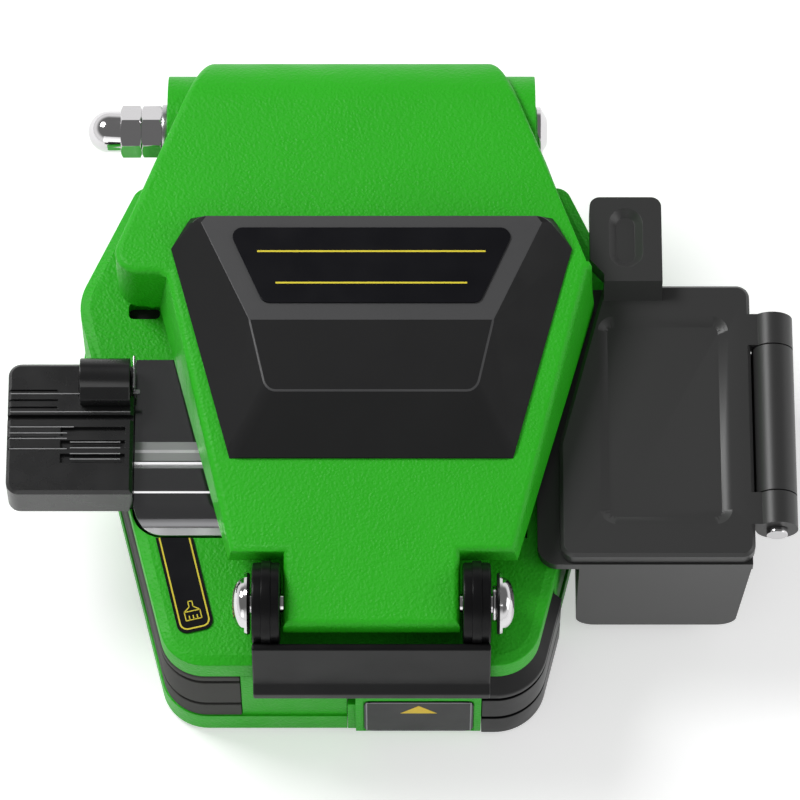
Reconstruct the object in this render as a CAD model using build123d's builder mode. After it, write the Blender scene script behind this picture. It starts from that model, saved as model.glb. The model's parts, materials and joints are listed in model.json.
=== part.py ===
"""Bench-top fibre cleaver: hinged lid, sliding blade carriage, fibre holder and scrap bin.

The frame stands on the underside of the base: +Z is up, +Y runs to the lid's hinge,
and the fibre lies along X, from the holder on the left to the scrap bin on the right.
Every length is in millimetres.
"""
from build123d import *
from math import cos, radians, sin
import os

os.makedirs("parts", exist_ok=True)

# Base plan: a six-sided outline, narrow at the front and back and widest near the holder
front_y = -46.0
front_half = 27.2
widest_y = 14.0
widest_half = 42.2
shoulder_y = 33.6
shoulder_step = 4.9
back_y = 43.0
front_corner_r = 6.8
side_corner_r = 9.0
shoulder_corner_r = 2.5
back_corner_r = 2.0

# Base heights
mat_thickness = 1.2
rim_bottom = 0.8
plate_thickness = 1.4
rim_height = 5.0
rim_flare = 0.4
lower_shell_top = 21.5
upper_shell_thickness = 5.0
wall = 2.4
deck_thickness = 2.4
shell_edge_run = 1.5
shell_edge_drop = 0.5
fit_gap = 0.1
slide_gap = 0.3

# Lid hinge across the back
hinge_y = 40.8
hinge_z = 31.0
ear_r = 8.55
ear_outer_x = 28.3
ear_inner_x = 20.0
lid_skin_inner_r = 9.0
lid_skin = 1.5
skin_end_angle = 76.0
axle_r = 2.0
axle_bore_gap = 0.05
lid_barrel_r = 3.3
lid_barrel_half = 19.6

# Lid plan and profile
lid_side_setback = 4.7
lid_front_setback = 14.0
lid_wing_width = 8.1
lid_left_taper = 10.6
lid_right_taper = 11.7
lid_right_trim = 0.2
lid_back_half = 21.6
lid_corner_y = 11.8
lid_back_y = 52.0
lid_wall_back_y = 31.0
lid_break_y = 13.0
lid_slope = 0.1
lid_wall = 3.2
lid_ceiling = 2.2
lid_wall_bottom = 29.2
lid_front_wall_bottom = 33.4
lid_side_lean = 0.13
lid_corner_r = 3.0
lid_wing_corner_r = 3.7
lid_side_depth = 15.0

# Tongue at the front of the lid, which carries the latch
tongue_left_x = -9.9
tongue_right_x = 16.4
tongue_setback = 2.6
tongue_thickness = 3.0

# Latch bail
latch_setback = 7.0
latch_z = 33.4
latch_shaft_r = 1.5
latch_boss_r = 2.5
latch_arm_r = 6.3
latch_arm_width = 4.2
latch_arm_gap = 0.5
latch_rib_r = 5.2
latch_rib_width = 1.4

latch_arm_left_x = -14.6
latch_arm_right_x = 21.0
latch_collar = 0.6
latch_collar_r = 2.7
latch_washer = 0.8
latch_washer_r = 4.8
latch_screw_r = 1.0
latch_screw_bite = 4.0
latch_head = 1.7
latch_head_r = 3.8
# Latch bar's section: distance behind the base's front wall, and height
latch_bar_profile = (
    (-0.3, 36.0),
    (-2.0, 23.6),
    (-3.2, 22.2),
    (-3.2, 20.4),
    (-0.5, 20.4),
    (-0.5, 22.4),
    (-1.3, 22.7),
    (-1.2, 25.4),
    (1.4, 31.0),
    (1.6, 36.0),
)

# Lid pad: each corner's half width, distance along the lid and rise over the lid's top
pad_centre_x = 3.15
pad_corners = {
    "back": (26.2, 18.9, 4.9),
    "heel": (25.9, 20.8, 0.5),
    "wide": (28.65, 15.5, 0.5),
    "crease": (18.3, 2.0, 5.2),
    "front": (15.75, -9.0, 4.9),
    "toe": (20.05, -17.6, 0.5),
}
lid_label_back = 14.9
lid_label_front = 2.7
lid_label_back_half = 21.75
lid_label_front_half = 16.3
lid_label_corner_r = 1.5

# Ribs in the lid, and the carrier, clamps and anvil under it
carrier_side_gap = 1.3
carrier_right_gap = 1.6
carrier_ahead = 13.0
carrier_behind = 11.0
carrier_screw_inset = 2.75
lid_rib_x = (-16.0, 0.0, 16.0)
lid_rib_width = 3.0
carrier_bottom = 33.8
carrier_screw_r = 1.15
carrier_screw_head_r = 2.0
carrier_screw_head = 1.4
carrier_screw_bite = 1.0
upper_pad_thickness = 1.5
anvil_width = 3.0
anvil_length = 6.0
anvil_head = 1.6
anvil_bottom = 30.0
anvil_stem_r = 1.6
anvil_stem_top = 35.7
spring_inner_r = 1.9
spring_outer_r = 2.6

# Platform, blade slot and clamp pads
platform_left_setback = 9.4
platform_right_setback = 8.0
platform_back_y = 2.9
platform_front_y = -25.2
platform_top = 29.0
slot_left_x = -3.6
slot_right_x = 3.2
slot_roof_z = 25.0
fibre_y = -8.0
pad_proud = 0.2
lower_pad_length = 9.0
lower_pad_width = 9.0
lower_pad_depth = 1.5

# Blade and its carriage
blade_r = 8.0
blade_thickness = 1.0
blade_x = -0.5
blade_y = 2.0
blade_hole_r = 2.0
blade_screw_head_r = 3.2
blade_screw_head = 1.8
blade_bevel = 1.2
bracket_left_x = 0.1
bracket_thickness = 2.5
bracket_half = 5.0
bracket_head_r = 3.4
bracket_foot_x = 8.0
bracket_foot = 1.9
bracket_screw_points = ((5.5, -0.6), (5.5, 4.6))
bracket_screw_r = 1.0
bracket_screw_head_r = 1.8
bracket_screw_head = 1.3
carriage_stroke = 20.0
carriage_setback = 15.0
carriage_left_x = -0.6
cap_margin = 1.3
cap_right_x = 19.8
cap_height = 15.6
grip_proud = 1.2
grip_wall = 2.8
groove_depth = 0.5
groove_width = 0.9
rail_width = 9.0
rail_height = 5.0
rail_centre_x = 9.5
rail_setback = 5.6
rail_back_y = 16.0
block_wall = 3.6
block_back_y = 9.0
block_thickness = 3.2
frame_setback = 5.0
frame_wall = 2.0
frame_bottom = 1.4
frame_height = 15.6
frame_plate = 3.4
frame_plate_right_x = 20.0
push_label_left_x = 2.0
push_label_right_x = 18.6
push_label_bottom = 2.0
push_label_top = 14.2
grip_bevel_height = 3.6
grip_bevel_angle = 26.57
grip_grooves = (6.8, 14.4)

# Grip band let into the front left corner of the base
band_bottom = 5.8
band_depth = 1.2
band_right_x = -16.6
band_back_y = -4.0
band_grooves = (4.2, 13.2)

# Fibre holder on the left
holder_width = 19.1
holder_back_y = 1.0
holder_front_y = -20.5
holder_top = 32.0
holder_height = 7.0
holder_corner_r = 2.0
groove_lines = (-3.6, -5.2, -6.4, -8.0, -9.6, -11.4, -13.2)
clamp_width = 7.6
clamp_side_gap = 0.5
clamp_barrel_r = 2.8
clamp_reach = 4.2
clamp_pin_r = 1.0

# Scrap bin on the right
bin_bay_depth = 7.8
bin_width = 26.2
bin_front_y = -30.2
bin_back_y = 14.6
bin_bottom = 3.0
bin_draft = 1.6
bin_wall = 1.8
bin_hood_reach = 6.2
bin_hood_corner_r = 3.0
bin_hood_thickness = 1.8
rim_overhang = 0.4
hood_lap = 2.7
bin_lid_thickness = 2.6
bin_lid_reach = 2.8
bin_lid_proud = 0.3
bin_lid_corner_r = 2.0
bin_lid_inset = 0.1
bin_lid_gap = 0.6
bin_hinge_offset = 3.7
bin_knuckle_r = 3.2
bin_barrel_front_y = -19.7
bin_barrel_back_y = 4.3
bin_pin_r = 1.0
bin_pin_head_r = 1.6
knuckle_spans = ((-25.1, -19.9), (4.5, 9.7))
panel_left_inset = 3.2
panel_right_inset = 3.1
panel_front_y = -25.1
panel_back_y = 9.3
panel_corner_r = 2.5
panel_depth = 0.8
panel_taper = 62.0
tab_left_inset = 2.1
tab_left_y = 17.0
tab_ramp_inset = 4.2
tab_ramp_y = 11.7
tab_right_inset = 13.1
tab_corner_r = 1.6
tab_back_y = 27.6
tab_top = 35.0
tab_thickness = 3.4
dimple_inset = 7.6
dimple_y = 20.7
dimple_half_width = 2.6
dimple_half_length = 5.0
dimple_depth = 1.0
dimple_taper = 50.0

# Fasteners, labels and small details
screw_depth = 7.0
plate_screw_r = 1.2
plate_screw_head_r = 2.2
plate_screw_head = 1.0
plate_setback = 6.5
mat_inset = 5.0
platform_screw_r = 1.2
platform_screw_head_r = 2.2
platform_screw_head = 2.2
platform_corner_r = 4.5
step_y = -18.9
step_front_y = -20.7
step_height = 0.3
groove_back_y = -14.1
groove_run = 1.0
platform_curve_front_y = -24.0
lip_height = 0.7
pad_edge = 1.0
bin_screw_r = 1.2
bin_screw_z = 12.0
bin_screw_y = (-20.0, 6.0)
bin_screw_head_r = 2.2
bin_screw_head = 1.5
bin_corner_r = 3.0
rail_groove_r = 0.8
rail_screw_inset = 6.2
rail_screw_r = 1.0
rail_screw_head_r = 1.9
rail_screw_head = 1.9
holder_dowel_r = 0.75
holder_dowel_inset = 1.5
holder_dowel_y = (-16.0, -3.0)
clamp_lug = 1.9
clamp_y = -2.0
clamp_pin_head_r = 2.2
groove_line = 0.35
v_groove = 0.9
holder_steps_y = -9.6
window_left_x = -34.2
window_right_x = -29.4
window_corner_r = 0.8
window_front_y = 10.9
window_back_y = 13.6
window_depth = 3.0
ridge_left_x = -9.0
ridge_right_x = 15.0
ridge_reach = 0.9
ridge_height = 1.4
ridge_bottom = 23.2
label_thickness = 0.3
side_label_setback = 2.45
side_label_room = 5.8
side_label_shift = 2.2
side_label_turn = 13.5
side_label_width = 5.5
washer_thickness = 1.0
washer_r = 4.2
axle_head = 1.9
axle_head_r = 3.9
nut_flats = 7.0
nut_height = 3.2
nut_chamfer = 0.5
acorn_neck = 1.9
acorn_dome_r = 3.25

# Places and levels that follow from the sizes above
back_half = ear_outer_x
shoulder_half = back_half + shoulder_step
lid_corner_half = widest_half - lid_side_setback
lid_wing_inner_x = lid_wing_width - lid_corner_half
lid_front_y = front_y + lid_front_setback
lid_front_left_x = lid_wing_inner_x + lid_left_taper
lid_right_x = lid_corner_half - lid_right_trim
lid_front_right_x = lid_right_x - lid_right_taper
tongue_front_y = front_y + tongue_setback
latch_y = front_y + latch_setback
carrier_left_x = lid_front_left_x + carrier_side_gap
carrier_right_x = lid_front_right_x - carrier_right_gap
carrier_front_y = fibre_y - carrier_ahead
carrier_back_y = fibre_y + carrier_behind
carriage_back_y = front_y + carriage_setback
cap_left_x = carriage_left_x + cap_margin
rail_front_y = front_y + rail_setback
frame_back_y = front_y + frame_setback
frame_left_x = carriage_left_x + slide_gap
plate_front_y = front_y + plate_setback
bin_left_x = widest_half - bin_bay_depth
bin_right_x = bin_left_x + bin_width
bin_hood_left_x = bin_left_x - bin_hood_reach
bin_lid_left_x = bin_left_x - bin_lid_reach
bin_lid_right_x = bin_right_x + bin_lid_proud
bin_hinge_x = bin_right_x + bin_hinge_offset
panel_left_x = bin_left_x + panel_left_inset
panel_right_x = bin_right_x - panel_right_inset
tab_left_x = bin_left_x + tab_left_inset
tab_ramp_left_x = bin_left_x + tab_ramp_inset
tab_right_x = bin_left_x + tab_right_inset
dimple_x = bin_left_x + dimple_inset
platform_left_x = platform_left_setback - widest_half
platform_right_x = bin_left_x - platform_right_setback
clamp_right_x = platform_left_x - clamp_side_gap - fit_gap
clamp_left_x = clamp_right_x - clamp_width
side_label_x = side_label_setback - front_half
side_label_length = platform_front_y - front_y - side_label_room
side_label_y = (platform_front_y + front_y) / 2 + side_label_shift
plate_bottom = mat_thickness
plate_top = plate_bottom + plate_thickness
deck_bottom = lower_shell_top - deck_thickness
shell_top = lower_shell_top + upper_shell_thickness
rim_top = rim_bottom + rim_height
fibre_z = platform_top + pad_proud
blade_z = fibre_z - blade_r
lid_skin_outer_r = lid_skin_inner_r + lid_skin
lid_flat_top = hinge_z + lid_skin_outer_r
lid_skin_bottom = lid_flat_top - lid_skin
hood_top = shell_top + bin_hood_thickness
bin_lid_bottom = hood_top + fit_gap
bin_lid_top = bin_lid_bottom + bin_lid_thickness
bin_hinge_z = bin_lid_bottom + 0.3
carriage_bottom = rim_bottom + 0.2
cap_top = carriage_bottom + cap_height
grip_front_y = front_y - grip_proud
slot_front_y = blade_y - carriage_stroke - blade_r - 0.6
slot_back_y = blade_y + blade_r + 0.6
platform_screw_seat = platform_top - platform_screw_head - 0.4
lip_top = shell_top + 0.3
rail_left_x = rail_centre_x - rail_width / 2
rail_right_x = rail_centre_x + rail_width / 2
rail_top = plate_top + rail_height
rail_screw_y = (rail_front_y + rail_screw_inset, (rail_front_y + rail_back_y) / 2, rail_back_y - rail_screw_inset)
carrier_screw_points = [(x, y) for x in (carrier_left_x + carrier_screw_inset, carrier_right_x - carrier_screw_inset)
                        for y in (carrier_front_y + carrier_screw_inset, carrier_back_y - carrier_screw_inset)]
holder_right_x = platform_left_x - fit_gap
holder_left_x = holder_right_x - holder_width
holder_bottom = holder_top - holder_height
holder_dowel_x = holder_right_x - holder_dowel_inset
clamp_z = holder_top + 1.6
block_left_x = rail_left_x - slide_gap - block_wall
block_right_x = rail_right_x + slide_gap + block_wall
block_top = rail_top + slide_gap + block_thickness
grip_bevel_bottom = cap_top
grip_top = grip_bevel_bottom + grip_bevel_height


def lid_top(y):
    """Height of the lid's outer top at a distance y from the origin."""
    return lid_flat_top - lid_slope * max(0.0, lid_break_y - y)


def lid_ceiling_at(y):
    """Height of the lid's inner top at a distance y from the origin."""
    return lid_top(y) - lid_ceiling


def finish(piece, name):
    """Name a finished piece and write its file."""
    piece.part.label = name
    export_step(piece.part, f"parts/{name}.step")


def base_plan(grow=0.0, bay_wall=0.0):
    """Outline of the base, grown evenly, with the bay for the scrap bin cut from it."""
    with BuildSketch() as plan:
        with BuildLine():
            Polyline(
                (-front_half, front_y),
                (front_half, front_y),
                (widest_half, widest_y),
                (shoulder_half, shoulder_y),
                (back_half, shoulder_y),
                (back_half, back_y),
                (-back_half, back_y),
                (-back_half, shoulder_y),
                (-shoulder_half, shoulder_y),
                (-widest_half, widest_y),
                close=True,
            )
        make_face()
        corners = plan.vertices().group_by(Axis.Y)
        fillet(corners[0], radius=front_corner_r)
        fillet(plan.vertices().filter_by_position(Axis.Y, widest_y - 1, widest_y + 1), radius=side_corner_r)
        fillet(plan.vertices().group_by(Axis.Y)[-1], radius=back_corner_r)
        shoulders = plan.vertices().filter_by_position(Axis.Y, shoulder_y - 0.1, shoulder_y + 0.1)
        fillet([shoulders.sort_by(Axis.X)[0], shoulders.sort_by(Axis.X)[-1]], radius=shoulder_corner_r)
        if grow:
            offset(amount=grow, kind=Kind.INTERSECTION)
        bay_depth = widest_half - bin_left_x + bay_wall + rim_flare + 1
        bay_length = bin_back_y - bin_front_y + 2 * (bay_wall + fit_gap)
        with Locations((bin_left_x - bay_wall + bay_depth / 2, (bin_front_y + bin_back_y) / 2)):
            Rectangle(bay_depth, bay_length, mode=Mode.SUBTRACT)
    return plan.sketch


def block(x0, x1, y0, y1, z0, z1, mode=Mode.ADD):
    """Join or cut a plain block between two corners."""
    with Locations(((x0 + x1) / 2, (y0 + y1) / 2, (z0 + z1) / 2)):
        Box(x1 - x0, y1 - y0, z1 - z0, mode=mode)


def rod(radius, x0, x1, y, z, mode=Mode.ADD):
    """Join or cut a round bar along X."""
    with Locations(((x0 + x1) / 2, y, z)):
        Cylinder(radius, x1 - x0, rotation=(0, 90, 0), mode=mode)


def rod_y(radius, y0, y1, x, z, mode=Mode.ADD):
    """Join or cut a round bar along Y."""
    with Locations((x, (y0 + y1) / 2, z)):
        Cylinder(radius, y1 - y0, rotation=(90, 0, 0), mode=mode)


def post(radius, x, y, z0, z1, mode=Mode.ADD):
    """Join or cut a round bar along Z."""
    with Locations((x, y, (z0 + z1) / 2)):
        Cylinder(radius, z1 - z0, mode=mode)


def turned(points, y, z, mode=Mode.ADD):
    """Turn an outline of (x, radius) points about an axis along X."""
    with BuildSketch(Plane((0, y, z))) as outline:
        with BuildLine():
            Polyline(*points, close=True)
        make_face()
    revolve(outline.sketch, axis=Axis((0, y, z), (1, 0, 0)), mode=mode)


def side_profile(points, x0, x1, mode=Mode.ADD):
    """Extrude a closed outline of (y, z) points along X."""
    with BuildSketch(Plane.YZ.offset(x0)) as outline:
        with BuildLine():
            Polyline(*points, close=True)
        make_face()
    extrude(outline.sketch, amount=x1 - x0, mode=mode)


def front_corner_strip(outer, inner, left_x, back_y_limit):
    """Part of the strip between two plans that lies right of left_x and ahead of a line."""
    with BuildSketch() as strip:
        add(outer)
        add(inner, mode=Mode.SUBTRACT)
        with Locations((left_x - 100, 0)):
            Rectangle(200, 300, mode=Mode.SUBTRACT)
        with Locations((0, back_y_limit + 100)):
            Rectangle(300, 200, mode=Mode.SUBTRACT)
    return strip.sketch


plan_outer = base_plan()
plan_inner = base_plan(-wall, wall)
plan_rim = base_plan(rim_flare)
plan_band_floor = base_plan(-band_depth)
plan_deck = base_plan(-grip_wall - 1.8)
plan_far = base_plan(6.0)
plan_grip_outer = base_plan(grip_proud)
plan_grip_inner = base_plan(grip_proud - grip_wall)
plan_band = base_plan(0.15)
plan_band_groove = base_plan(0.15 - groove_depth)
plan_frame_inner = base_plan(grip_proud - grip_wall - frame_wall)
plan_grip_groove = base_plan(grip_proud - groove_depth)

# Screw bosses under the deck, clear of the blade carriage
boss_r = 3.4
boss_inset = 8.2
boss_points = [(boss_inset - front_half - 4.0, front_y + 13.0), (boss_inset - widest_half, 12.0),
               (boss_inset - back_half, back_y - 9.0), (back_half - boss_inset, back_y - 9.0),
               (bin_left_x - 6.9, 2.0), (-12.0, 12.0)]
platform_screw_points = [(-10.0, -20.5), (-10.0, -0.8), (9.0, -20.5), (9.0, -0.8),
                         (platform_right_x - 4.2, -20.5)]

# Lower shell of the base
with BuildPart() as base_lower_shell:
    with BuildSketch(Plane.XY.offset(rim_bottom)):
        add(plan_outer)
    extrude(amount=lower_shell_top - rim_bottom)
    with BuildSketch(Plane.XY.offset(rim_bottom)):
        add(plan_rim)
    extrude(amount=rim_height)
    with BuildSketch(Plane.XY.offset(rim_bottom)):
        add(plan_inner)
    extrude(amount=deck_bottom - rim_bottom, mode=Mode.SUBTRACT)
    # Bosses that the bottom plate is screwed to
    for x, y in boss_points:
        post(boss_r, x, y, plate_top, deck_bottom + 0.5)
    # Recess for the grip band
    with BuildSketch(Plane.XY.offset(band_bottom)):
        add(plan_far)
        add(plan_band_floor, mode=Mode.SUBTRACT)
        with Locations((band_right_x + 100, 0)):
            Rectangle(200, 300, mode=Mode.SUBTRACT)
        with Locations((0, band_back_y + 100)):
            Rectangle(300, 200, mode=Mode.SUBTRACT)
    extrude(amount=lower_shell_top - band_bottom, mode=Mode.SUBTRACT)
    # Front opening that the carriage slides through
    block(carriage_left_x, 60, -60, carriage_back_y, 0, cap_top + 0.9, mode=Mode.SUBTRACT)
    with BuildSketch(Plane.XY.offset(rim_bottom)):
        add(front_corner_strip(plan_far, plan_deck, cap_right_x - fit_gap, carriage_back_y))
    extrude(amount=lower_shell_top - rim_bottom, mode=Mode.SUBTRACT)
    # Blade slot through the deck
    block(slot_left_x, slot_right_x, slot_front_y, slot_back_y, deck_bottom - 1, lower_shell_top + 1, mode=Mode.SUBTRACT)
    # Tapped holes for the plate, the platform and the bin
    for x, y in boss_points:
        post(plate_screw_r + fit_gap / 2, x, y, plate_top - 1, plate_top + screw_depth, mode=Mode.SUBTRACT)
    for x, y in platform_screw_points:
        post(platform_screw_r + fit_gap / 2, x, y, deck_bottom - 1, lower_shell_top + 1, mode=Mode.SUBTRACT)
    for y in bin_screw_y:
        rod(bin_screw_r + fit_gap / 2, bin_left_x - 4, bin_left_x + 1, y, bin_screw_z, mode=Mode.SUBTRACT)
finish(base_lower_shell, "base_lower_shell")

# Upper shell of the base, with the two ears of the lid's hinge
with BuildPart() as base_upper_shell:
    with BuildSketch(Plane.XY.offset(lower_shell_top)):
        add(plan_outer)
    extrude(amount=upper_shell_thickness)
    shell_roof = base_upper_shell.faces().sort_by(Axis.Z)[-1]
    rim_edges = [edge for edge in shell_roof.edges() if edge.center().X < bin_left_x - bin_lid_reach]
    chamfer(rim_edges, length=shell_edge_run, length2=shell_edge_drop, reference=shell_roof)
    for side in (-1, 1):
        x0, x1 = sorted((side * ear_inner_x, side * ear_outer_x))
        rod(ear_r, x0, x1, hinge_y, hinge_z)
        block(x0, x1, hinge_y - ear_r, back_y, lower_shell_top, hinge_z)
    # Ridge on the front wall that the latch snaps over
    block(ridge_left_x, ridge_right_x, front_y - ridge_reach, front_y + 1, ridge_bottom, ridge_bottom + ridge_height)
    # Pocket for the platform and slot for the blade
    with BuildSketch(Plane.XY.offset(lower_shell_top - 1)) as pocket:
        with Locations(((platform_left_x + platform_right_x) / 2, (platform_front_y + platform_back_y) / 2)):
            Rectangle(platform_right_x - platform_left_x + 2 * slide_gap,
                      platform_back_y - platform_front_y + 2 * slide_gap)
        fillet(pocket.vertices().group_by(Axis.Y)[0].sort_by(Axis.X)[0], radius=platform_corner_r + slide_gap)
    extrude(amount=upper_shell_thickness + 2, mode=Mode.SUBTRACT)
    block(slot_left_x, slot_right_x, platform_back_y, slot_back_y, lower_shell_top - 1, shell_top + 1,
          mode=Mode.SUBTRACT)
    block(slot_left_x, slot_right_x, slot_front_y, platform_front_y, lower_shell_top - 1, slot_roof_z,
          mode=Mode.SUBTRACT)
    # Notch that the fibre holder is seated in
    block(holder_left_x, platform_left_x, holder_front_y - fit_gap, holder_back_y + fit_gap, holder_bottom,
          shell_top + 1, mode=Mode.SUBTRACT)
    for y in holder_dowel_y:
        post(holder_dowel_r + 0.02, holder_dowel_x, y, holder_bottom - 2.8, shell_top + 1, mode=Mode.SUBTRACT)
    # Window at the left and bore for the axle
    with BuildSketch(Plane.XY.offset(shell_top - window_depth)):
        with Locations(((window_left_x + window_right_x) / 2, (window_front_y + window_back_y) / 2)):
            RectangleRounded(window_right_x - window_left_x, window_back_y - window_front_y, window_corner_r)
    extrude(amount=window_depth + 1, mode=Mode.SUBTRACT)
    rod(axle_r + 0.02, -60, 60, hinge_y, hinge_z, mode=Mode.SUBTRACT)
finish(base_upper_shell, "base_upper_shell")

# Rubber grip band round the front left corner
with BuildPart() as grip_band:
    with BuildSketch(Plane.XY.offset(band_bottom)):
        add(plan_band)
        add(plan_band_floor, mode=Mode.SUBTRACT)
        with Locations((band_right_x - fit_gap + 100, 0)):
            Rectangle(200, 300, mode=Mode.SUBTRACT)
        with Locations((0, band_back_y - fit_gap + 100)):
            Rectangle(300, 200, mode=Mode.SUBTRACT)
    extrude(amount=lower_shell_top - band_bottom)
    for rise in band_grooves:
        with BuildSketch(Plane.XY.offset(band_bottom + rise)):
            add(plan_far)
            add(plan_band_groove, mode=Mode.SUBTRACT)
        extrude(amount=groove_width, mode=Mode.SUBTRACT)
finish(grip_band, "grip_band")

# Bottom plate, its screws and the rubber mat that the tool stands on
with BuildPart() as bottom_plate:
    with BuildSketch(Plane.XY.offset(plate_bottom)):
        add(base_plan(-wall - fit_gap, wall + fit_gap))
        with Locations((carriage_left_x - 1 + 50, plate_front_y - 50)):
            Rectangle(100, 100, mode=Mode.SUBTRACT)
        add(front_corner_strip(plan_far, plan_deck, cap_right_x - fit_gap, carriage_back_y), mode=Mode.SUBTRACT)
    extrude(amount=plate_thickness)
    for x, y in boss_points:
        post(plate_screw_r + fit_gap, x, y, plate_bottom - 1, plate_top + 1, mode=Mode.SUBTRACT)
finish(bottom_plate, "bottom_plate")

with BuildPart() as foot_mat:
    with BuildSketch():
        add(base_plan(-mat_inset, mat_inset))
        with Locations((carriage_left_x - 1 + 50, plate_front_y + 1 - 50)):
            Rectangle(100, 100, mode=Mode.SUBTRACT)
        with Locations(*boss_points):
            Circle(plate_screw_head_r + 0.4, mode=Mode.SUBTRACT)
    extrude(amount=mat_thickness)
finish(foot_mat, "foot_mat")

with BuildPart() as plate_screws:
    for x, y in boss_points:
        post(plate_screw_head_r, x, y, plate_bottom - plate_screw_head, plate_bottom)
        post(plate_screw_r, x, y, plate_bottom - 0.1, plate_top + screw_depth - 1)
finish(plate_screws, "plate_screws")


def platform_outline(x0, x1):
    """One half of the platform: a rounded front, a stepped top and a lip along the front."""
    front = platform_front_y
    with BuildSketch(Plane.YZ.offset(x0)) as outline:
        with BuildLine():
            Polyline(
                (platform_curve_front_y, lip_top),
                (front, lip_top),
                (front, lip_top - lip_height),
                (front + 0.8, lip_top - lip_height - 0.5),
                (front + 0.8, lower_shell_top),
                (platform_back_y, lower_shell_top),
                (platform_back_y, platform_top),
                (groove_back_y, platform_top),
                (groove_back_y - groove_run / 2, platform_top - 0.5),
                (groove_back_y - groove_run, platform_top),
                (step_y, platform_top),
                (step_y - 0.2, platform_top - step_height),
                (step_front_y, platform_top - step_height),
            )
            TangentArc((step_front_y, platform_top - step_height), (platform_curve_front_y, lip_top), tangent=(-1, 0))
        make_face()
    extrude(outline.sketch, amount=x1 - x0)


def screw_down(head_r, head, shank_r, x, y, seat_z, tip_z):
    """A cap screw whose head rests on seat_z and whose shank ends at tip_z."""
    post(head_r, x, y, seat_z, seat_z + head)
    post(head_r * 0.5, x, y, seat_z + head * 0.5, seat_z + head + 1, mode=Mode.SUBTRACT)
    post(shank_r, x, y, tip_z, seat_z + 0.1)


# The two halves of the platform, either side of the blade slot
platform_spans = {"platform_left": (platform_left_x, slot_left_x), "platform_right": (slot_right_x, platform_right_x)}
for name, (x0, x1) in platform_spans.items():
    pad_x = slot_left_x - pad_edge - lower_pad_length / 2 if x0 < 0 else slot_right_x + pad_edge + lower_pad_length / 2
    with BuildPart() as platform:
        platform_outline(x0, x1)
        if x0 < 0:
            with BuildSketch(Plane.XY.offset(lower_shell_top)) as rounded:
                with Locations(((x0 + x1) / 2, (platform_back_y + platform_front_y) / 2)):
                    Rectangle(x1 - x0, platform_back_y - platform_front_y)
                fillet(rounded.vertices().group_by(Axis.Y)[0].sort_by(Axis.X)[0], radius=platform_corner_r)
            extrude(amount=platform_top, mode=Mode.INTERSECT)
        block(pad_x - lower_pad_length / 2, pad_x + lower_pad_length / 2, fibre_y - lower_pad_width / 2,
              fibre_y + lower_pad_width / 2, platform_top + pad_proud - lower_pad_depth, platform_top + 1,
              mode=Mode.SUBTRACT)
        for x, y in platform_screw_points:
            if x0 < x < x1:
                post(platform_screw_head_r + 0.3, x, y, platform_screw_seat, platform_top + 1, mode=Mode.SUBTRACT)
                post(platform_screw_r + 0.1, x, y, lower_shell_top - 1, platform_top + 1, mode=Mode.SUBTRACT)
    finish(platform, name)
    with BuildPart() as pad:
        block(pad_x - lower_pad_length / 2 + 0.05, pad_x + lower_pad_length / 2 - 0.05,
              fibre_y - lower_pad_width / 2 + 0.05, fibre_y + lower_pad_width / 2 - 0.05,
              fibre_z - lower_pad_depth, fibre_z)
    finish(pad, name.replace("platform", "lower_pad"))

with BuildPart() as platform_screws:
    for x, y in platform_screw_points:
        screw_down(platform_screw_head_r, platform_screw_head, platform_screw_r, x, y, platform_screw_seat,
                   deck_bottom + 0.2)
finish(platform_screws, "platform_screws")

# Rail that the carriage runs on
with BuildPart() as slide_rail:
    block(rail_left_x, rail_right_x, rail_front_y, rail_back_y, plate_top, rail_top)
    for x in (rail_left_x, rail_right_x):
        rod_y(rail_groove_r, rail_front_y - 1, rail_back_y + 1, x, plate_top + rail_height * 0.6, mode=Mode.SUBTRACT)
    for y in rail_screw_y:
        post(rail_screw_head_r + 0.2, rail_centre_x, y, rail_top - rail_screw_head - 0.4, rail_top + 1,
             mode=Mode.SUBTRACT)
        post(rail_screw_r + 0.1, rail_centre_x, y, plate_top - 1, rail_top + 1, mode=Mode.SUBTRACT)
finish(slide_rail, "slide_rail")

with BuildPart() as rail_screws:
    for y in rail_screw_y:
        screw_down(rail_screw_head_r, rail_screw_head, rail_screw_r, rail_centre_x, y,
                   rail_top - rail_screw_head - 0.4, plate_top + 0.1)
finish(rail_screws, "rail_screws")

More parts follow.
